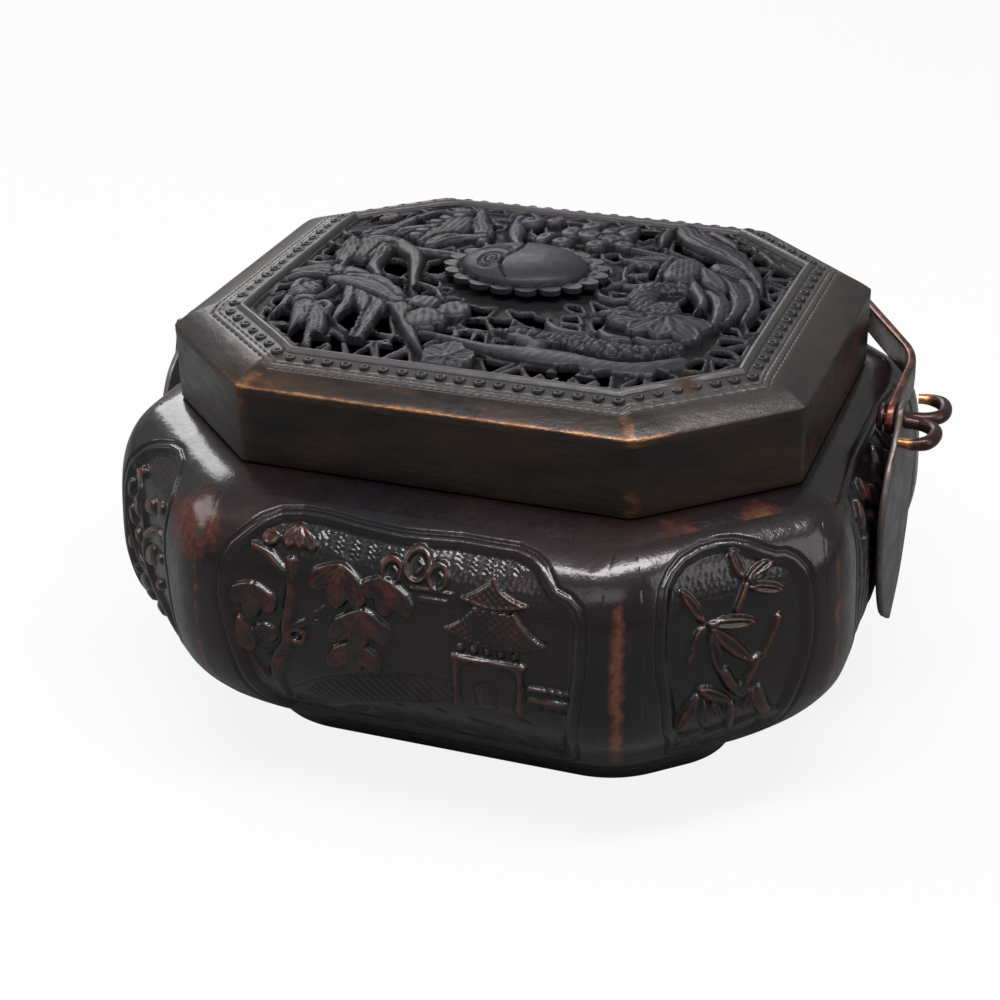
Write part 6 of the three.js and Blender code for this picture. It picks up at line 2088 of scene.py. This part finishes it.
@dataclass
class Boss:
    """The oval boss at the middle of the lid: petals under a dome with a curved line and an eye."""

    seat: float = 76.7
    crown: float = 80.95
    half_length: float = 15.45
    half_width: float = 11.75
    petals: int = 19

    def build(self) -> bpy.types.Object:
        """Build the petals and the dome as one closed solid.

        Returns:
            The boss.
        """
        around, out = 380, np.r_[np.linspace(0.02, 0.7, 44), np.linspace(0.71, 1.0, 30)]
        angle = np.linspace(0, 2 * math.pi, around + 1)[:-1]
        share, turn = np.meshgrid(out, angle, indexing="ij")
        lobe = np.abs(np.cos(turn * self.petals / 2))
        notch = 1 - 0.17 * (1 - lobe**0.5) * smooth(share, 0.8, 0.97)
        x = self.half_length * share * notch * np.cos(turn)
        y = self.half_width * share * notch * np.sin(turn)
        relief = Relief(x, y)
        dome_share = np.hypot((x + 0.3) / 11.7, (y + 0.1) / 9.3)
        dome = np.sqrt(np.clip(1 - dome_share**2.4, 0, 1))
        lip = peak(dome_share - 1.03, 0.04)
        petal = 1.0 + 0.45 * lobe**0.7 - 1.1 * smooth(share, 0.78, 1.0)
        petal = petal - 0.45 * (1 - lobe**0.5) * smooth(share, 0.76, 0.84)
        relief.height = np.maximum(petal, 1.1 + 2.95 * dome) - 0.35 * lip
        relief.groove([(-3.4, 8.4), (-2.1, 5.6), (-1.6, 2.4), (-2.2, -0.6), (-3.2, -3.4),
                       (-2.6, -6.4), (-1.0, -8.4)], 0.9, 0.5)
        for k in range(3):
            grow = 1.3 * k
            relief.groove([(-9.6 + 0.4 * k, 0.6 + 0.3 * grow), (-7.0, 1.2 + grow * 0.7),
                           (-4.4, 0.8 + grow * 0.7), (-2.4, -0.6 + 0.2 * grow)], 0.7, 0.4)
        for radii in ((2.5, 2.9), (1.3, 1.6)):
            ring = relief.oval((-5.4, -3.6), radii, 8)
            relief.height[ring.spot] -= 0.42 * peak(ring.along - 0.86, 0.13)
        eye = float(relief.height[relief.oval((-5.4, -3.6), (0.9, 0.9)).spot].max()) + 0.12
        relief.raise_form(relief.oval((-5.4, -3.6), (0.7, 0.9)), eye)
        # Painted shade in the hollows and in the groove round the dome's foot
        crevice, wear = relief.hollows(2, 0.3, 0.3)
        crevice = np.maximum(np.clip(lip, 0, 1) * 0.9, crevice)
        top = np.stack([x, y, np.minimum(self.seat + relief.height, self.crown)], -1)
        under = top[-1].copy()
        under[:, 2] = self.seat + 0.1
        foot = under * np.array([0.72, 0.72, 1])
        foot[:, 2] = self.seat - 0.6
        poles = [[0, 0, top[0, :, 2].mean()], [0, 0, self.seat - 0.6]]
        points = np.concatenate([top.reshape(-1, 3), under, foot, poles])
        rows = len(out)
        quads = grid_faces(rows + 2, around, around=True)
        cap = fan(0, around, len(points) - 2)
        sole = fan((rows + 1) * around, around, len(points) - 1)[:, ::-1]
        pad = np.zeros(2 * around + 2)
        # The underside gets painted shade, a fixed crevice value of 0.4
        marks = {"crevice": np.r_[crevice.ravel(), pad + 0.4],
                 "wear": np.r_[wear.ravel() * 0.6, pad]}
        return make_piece("lid_medallion", points, [quads[:, ::-1], cap, sole], marks, 60)


# Handle and its fittings


@dataclass
class Handle:
    """The flat bail, its end plates and its split pins."""

    pivot: float = 57.4
    strap_x: float = 67.6
    arm: float = 22.0
    grip_half: float = 47.0
    grip_reach: float = 56.9
    bend: float = 5.2
    width: float = 5.8
    thickness: float = 1.8
    tilt: float = 1.0
    plate_inside: float = 68.8
    plate_top: float = 60.6
    plate_length: float = 43.6
    scroll_start: float = 70.3

    TAB = ((0.7, 0.01), (1, 0.045), (1.4, 0.09))
    BLADE = ((0.8, 0.205), (1, 0.32), (1, 0.53), (0.84, 0.71), (0.5, 0.885))
    SCROLL = ((0, 0.08), (0.45, 0.12), (0.77, 0.32), (0.82, 0.6), (0.66, 0.9), (0.32, 1),
              (0.06, 0.98))
    FOLD = ((0.05, -0.05), (0.22, 0.25), (0.6, 0.62), (1, 1))

    def bail_line(self) -> Array:
        """Middle line of the bail in plan, with rounded bends."""
        corners = [(self.strap_x, -2.9), (self.strap_x, self.arm),
                   (self.grip_half, self.grip_reach), (-self.grip_half, self.grip_reach),
                   (-self.strap_x, self.arm), (-self.strap_x, -2.9)]
        line = np.array(corners, float)
        points = [line[0] + (line[1] - line[0]) * t for t in np.linspace(0, 0.72, 30)]
        for i in range(1, 5):
            back, on = line[i - 1] - line[i], line[i + 1] - line[i]
            start = line[i] + back / np.linalg.norm(back) * self.bend
            end = line[i] + on / np.linalg.norm(on) * self.bend
            points += [start * (1 - t) ** 2 + 2 * line[i] * t * (1 - t) + end * t**2
                       for t in np.linspace(0, 1, 10)]
            if i < 4:
                following = line[i + 1] - on / np.linalg.norm(on) * self.bend
                points += [end + (following - end) * t for t in np.linspace(0, 1, 26)[1:-1]]
        points += [line[5] + (line[4] - line[5]) * t for t in np.linspace(0.72, 0, 30)]
        return np.array(points)

    def bail(self) -> bpy.types.Object:
        """The bail: a flat strap on edge, rounded at its corners and at its two ends."""
        line = self.bail_line()
        way = np.gradient(line, axis=0)
        way /= np.linalg.norm(way, axis=1, keepdims=True)
        side = np.c_[way[:, 1], -way[:, 0]]
        past = np.clip(-line[:, 1], 0, self.width / 2)
        half = np.sqrt(np.maximum((self.width / 2) ** 2 - past**2, 0.02))
        half = half * (1 + 0.02 * np.sin(line[:, 0] * 0.21))
        across = self.thickness / 2 * (1 + 0.05 * np.sin(line[:, 0] * 0.33 + 1))
        ring = []
        for angle in np.linspace(0, 2 * math.pi, 25)[:-1]:
            c, s = math.cos(angle), math.sin(angle)
            ring.append((math.copysign(abs(c) ** 0.5, c), math.copysign(abs(s) ** 0.22, s)))
        rows = []
        for a, b in ring:
            z = half * b
            rows.append(np.c_[line + side * (across * a * (0.92 + 0.08 * (1 - b * b)))[:, None], z])
        points = np.stack(rows, 1)
        points[..., 2] *= 0.985
        turn = math.radians(self.tilt)
        y, z = points[..., 1].copy(), points[..., 2].copy()
        points[..., 1] = y * math.cos(turn) - z * math.sin(turn)
        points[..., 2] = y * math.sin(turn) + z * math.cos(turn) + self.pivot
        count, each = points.shape[:2]
        b = np.array(ring)[:, 1][None]
        edge = smooth(np.abs(b), 0.8, 1.0) * 0.5 + 0.25 * smooth(ripple(points, (15.0, 9.0, 6.0)),
                                                                 0, 0.8)
        caps = [np.arange(each)[::-1][None], ((count - 1) * each + np.arange(each))[None]]
        return make_piece("bail_strap", points.reshape(-1, 3),
                          [grid_faces(count, each, around=True), *caps],
                          {"wear": np.clip(edge, 0, 1)}, 50)

    def leaf(self, end: int) -> bpy.types.Object:
        """An end plate: a leaf of sheet hung under the pivot, with rounded edges.

        Args:
            end: 1 for the +X end and -1 for the other.

        Returns:
            The plate.
        """
        half = [(0.0, self.plate_top)]
        half += [(3.6 * a, self.plate_top - self.plate_length * b) for a, b in self.TAB]
        half += [(14 * a, self.plate_top - self.plate_length * b) for a, b in self.BLADE]
        half += [(0.0, self.plate_top - self.plate_length)]
        line = rounded(np.array(half))
        outline = np.concatenate([line[:-1], line[::-1][:-1] * np.array([-1, 1])])
        way = np.roll(outline, -1, 0) - np.roll(outline, 1, 0)
        inward = np.c_[-way[:, 1], way[:, 0]] / np.maximum(np.linalg.norm(way, axis=1,
                                                                          keepdims=True), 1e-6)
        middle = outline.mean(0)
        inward *= np.sign(((middle - outline) * inward).sum(1))[:, None]
        rows = []
        for depth, inset in ((0.0, 0.25), (0.2, 0.05), (0.45, 0.0), (0.75, 0.0), (1.0, 0.08),
                             (1.16, 0.3), (1.2, 0.7)):
            ring = outline + inward * inset
            rows.append(np.c_[np.full(len(ring), self.plate_inside + depth), ring])
        points = np.array(rows)
        points[..., 0] *= end
        count, each = points.shape[:2]
        faces = grid_faces(count, each, around=True)
        caps = [np.arange(each)[::-1], (count - 1) * each + np.arange(each)]
        across = np.cross(points[0, 1] - points[0, 0], points[1, 0] - points[0, 0])[1:]
        if across @ inward[0] > 0:
            faces, caps = faces[:, ::-1], [c[::-1] for c in caps]
        edge = np.zeros((count, each))
        edge[2:6] = 0.5
        return make_piece("leaf_plate_right" if end > 0 else "leaf_plate_left",
                          points.reshape(-1, 3), [faces, *[c[None] for c in caps]], {"wear": edge},
                          60)

    def pin(self, end: int) -> bpy.types.Object:
        """A split pin: domed head inside, shank through strap and plate, and two legs outside.

        The legs are curled back at the right end and folded down flat on the plate at the left.

        Args:
            end: 1 for the +X end and -1 for the other.

        Returns:
            The pin.
        """
        head = self.strap_x - self.thickness / 2 - 0.3
        start = self.scroll_start
        dome = [(head - back, 0, 0) for back in (1.35, 1.15, 0.6, 0.0)]
        lines = [(dome, (1.1, 2.1, 2.6, 2.55)),
                 ([(head - 0.5, 0, 0), (start + (1.1 if end > 0 else 2.2), 0, 0)], (1.28, 1.28))]
        for side in (1, -1):
            curl = [(start - 0.06 + 7 * away, side * 9.6 * along, 0) for away, along in self.SCROLL]
            fold = [(start + 1.25, side * 3.4 * along, -10 * down) for along, down in self.FOLD]
            leg = rounded(np.array(curl if end > 0 else fold, float), 40)
            lines.append((leg, 1.24 - 0.35 * smooth(np.linspace(0, 1, len(leg)), 0.7, 1.0)))
        turn, lift = np.array([end, 1, 1]), np.array([0, 0, self.pivot])
        piece = lines_object("pin_lines", [(np.array(path) * turn + lift, r) for path, r in lines])
        tree, begin, (unit,) = open_group("round wire", {"Radius": "NodeSocketFloat"})
        ring = add(tree, "GeometryNodeCurvePrimitiveCircle",
                   {"Resolution": 20, "Radius": begin.outputs[1]})
        wide = add(tree, "GeometryNodeInputRadius")
        tube = add(tree, "GeometryNodeCurveToMesh", {
            "Curve": begin.outputs[0], "Profile Curve": ring.outputs[0],
            "Scale": wide.outputs[0], "Fill Caps": True})
        close_group(tree, tube, HANDLE_COPPER)
        modifier = piece.modifiers.new("wire", "NODES")
        modifier.node_group = tree
        modifier[unit] = MM
        made = settled(piece, "curled_pin_right" if end > 0 else "curled_pin_left", [])
        spots = np.empty(len(made.data.vertices) * 3, np.float32)
        made.data.vertices.foreach_get("co", spots)
        spots = spots.reshape(-1, 3) / MM
        tips = peak(np.abs(spots[:, 0]) - start - 1, 1.6) * smooth(np.abs(spots[:, 1]), 6, 9)
        layer = made.data.attributes.new("wear", "FLOAT", "POINT")
        layer.data.foreach_set("value", np.clip(0.25 + tips, 0, 1).astype(np.float32))
        return made

    def build(self) -> None:
        """Build and dress the bail, the plates and the pins."""
        bail = self.bail()
        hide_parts("bail")
        dress(bail, HANDLE_COPPER, Body.HANDLE)
        for end, word in ((1, "right"), (-1, "left")):
            plate = self.leaf(end)
            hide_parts(f"end_plate_{word}")
            dress(plate, PLATE_BRONZE, Body.POT)
            pin = self.pin(end)
            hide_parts(f"split_pin_{word}")
            dress(pin, HANDLE_COPPER, Body.POT)


# Studio


@dataclass(frozen=True)
class Lamp:
    """A soft box: where it stands and its size in metres, and its power in watts."""

    name: str
    place: tuple[float, float, float]
    size: tuple[float, float]
    power: float

    def build(self, aim: tuple[float, float, float]) -> None:
        """Light it and turn it to what it lights."""
        data = bpy.data.lights.new(self.name, "AREA")
        data.shape, data.energy = "RECTANGLE", self.power
        data.size, data.size_y = self.size
        lamp = new_object(self.name, data)
        lamp.location = self.place
        lamp.rotation_euler = (Vector(aim) - Vector(self.place)).to_track_quat("-Z", "Y").to_euler()


@dataclass
class Studio:
    """Camera at the photograph's viewing angle, pale floor, and soft light."""

    place: tuple = (0.12085, -0.33763, 0.21569)
    azimuth: float = 20.5949
    elevation: float = 27.3191
    roll: float = -1.1643
    lens: float = 76.0
    paper: str = "7e7e7e"
    floor_reach: float = 4.0
    floor_glow: float = 1.5
    floor_share: float = 0.58
    glossy_glow: float = 0.1
    surround: float = 0.24
    aim: tuple = (0, 0, 0.04)

    LAMPS = (
        Lamp("overhead box", (0.1, -0.17, 0.66), (0.7, 0.12), 4.6),
        Lamp("back box", (-0.5, 0.7, 0.55), (0.6, 0.4), 3.6),
        Lamp("left box", (-0.7, -0.15, 0.5), (0.4, 0.4), 1.5),
        Lamp("right box", (0.8, -0.1, 0.4), (0.4, 0.6), 1.4),
        Lamp("front box", (0.1, -0.9, 0.65), (0.8, 0.3), 1.0),
    )

    def camera(self) -> None:
        """Set up the camera."""
        az, el, roll = (math.radians(v) for v in (self.azimuth, self.elevation, self.roll))
        back = Vector((math.sin(az) * math.cos(el), -math.cos(az) * math.cos(el), math.sin(el)))
        right = Vector((math.cos(az), math.sin(az), 0))
        up = back.cross(right)
        turned_right = right * math.cos(roll) + up * math.sin(roll)
        turned_up = up * math.cos(roll) - right * math.sin(roll)
        data = bpy.data.cameras.new("camera")
        data.lens, data.sensor_width, data.clip_start = self.lens, 36, 0.01
        camera = new_object("camera", data)
        matrix = Matrix((turned_right, turned_up, back)).transposed().to_4x4()
        matrix.translation = Vector(self.place)
        camera.matrix_world = matrix
        bpy.context.scene.camera = camera

    def floor(self) -> None:
        """A pale floor that shows white to the camera and keeps the object's shadow."""
        reach = self.floor_reach
        corners = [(-reach, -reach, 0), (reach, -reach, 0), (reach, reach, 0), (-reach, reach, 0)]
        floor = make_piece("floor", np.array(corners) / MM, [np.array([[0, 1, 2, 3]])])
        material = bpy.data.materials.new("pale paper floor")
        material.use_nodes = True
        tree = material.node_tree
        tree.nodes.clear()
        paper = add(tree, "ShaderNodeBsdfDiffuse", {"Color": linear(self.paper)})
        rays = add(tree, "ShaderNodeLightPath")
        eye, gloss = rays.outputs["Is Camera Ray"], rays.outputs["Is Glossy Ray"]
        shine = add(tree, "ShaderNodeMath", {0: gloss, 1: self.glossy_glow}, operation="MULTIPLY")
        seen = add(tree, "ShaderNodeMath", {0: eye, 1: self.floor_glow, 2: shine.outputs[0]},
                   operation="MULTIPLY_ADD")
        glow = add(tree, "ShaderNodeEmission", {"Color": (1, 1, 1, 1), "Strength": seen.outputs[0]})
        share = add(tree, "ShaderNodeMath", {0: eye, 1: self.floor_share}, operation="MULTIPLY")
        both = add(tree, "ShaderNodeMixShader",
                   {0: share.outputs[0], 1: paper.outputs[0], 2: glow.outputs[0]})
        output = add(tree, "ShaderNodeOutputMaterial")
        tree.links.new(both.outputs[0], output.inputs[0])
        floor.data.materials.append(material)

    def light(self) -> None:
        """Soft boxes above, behind and at the left, and an even pale surround."""
        world = bpy.data.worlds.new("studio")
        bpy.context.scene.world = world
        world.use_nodes = True
        tree = world.node_tree
        tree.nodes.clear()
        rays = add(tree, "ShaderNodeLightPath")
        soft = add(tree, "ShaderNodeBackground", {0: (1, 1, 1, 1), 1: self.surround})
        white = add(tree, "ShaderNodeBackground", {0: (1, 1, 1, 1), 1: 1.0})
        both = add(tree, "ShaderNodeMixShader",
                   {0: rays.outputs["Is Camera Ray"], 1: soft.outputs[0], 2: white.outputs[0]})
        output = add(tree, "ShaderNodeOutputWorld")
        tree.links.new(both.outputs[0], output.inputs[0])
        for lamp in self.LAMPS:
            lamp.build(self.aim)

    def build(self) -> None:
        """Set up the whole studio."""
        self.camera()
        self.floor()
        self.light()
        bpy.context.scene.view_settings.view_transform = "Standard"


def main() -> None:
    """Build the studio and the object."""
    logging.basicConfig(level=logging.INFO, format="%(message)s")
    Studio().build()
    Pot(PotForm()).build()
    Lid().build()
    Handle().build()


if __name__ == "__main__":
    main()
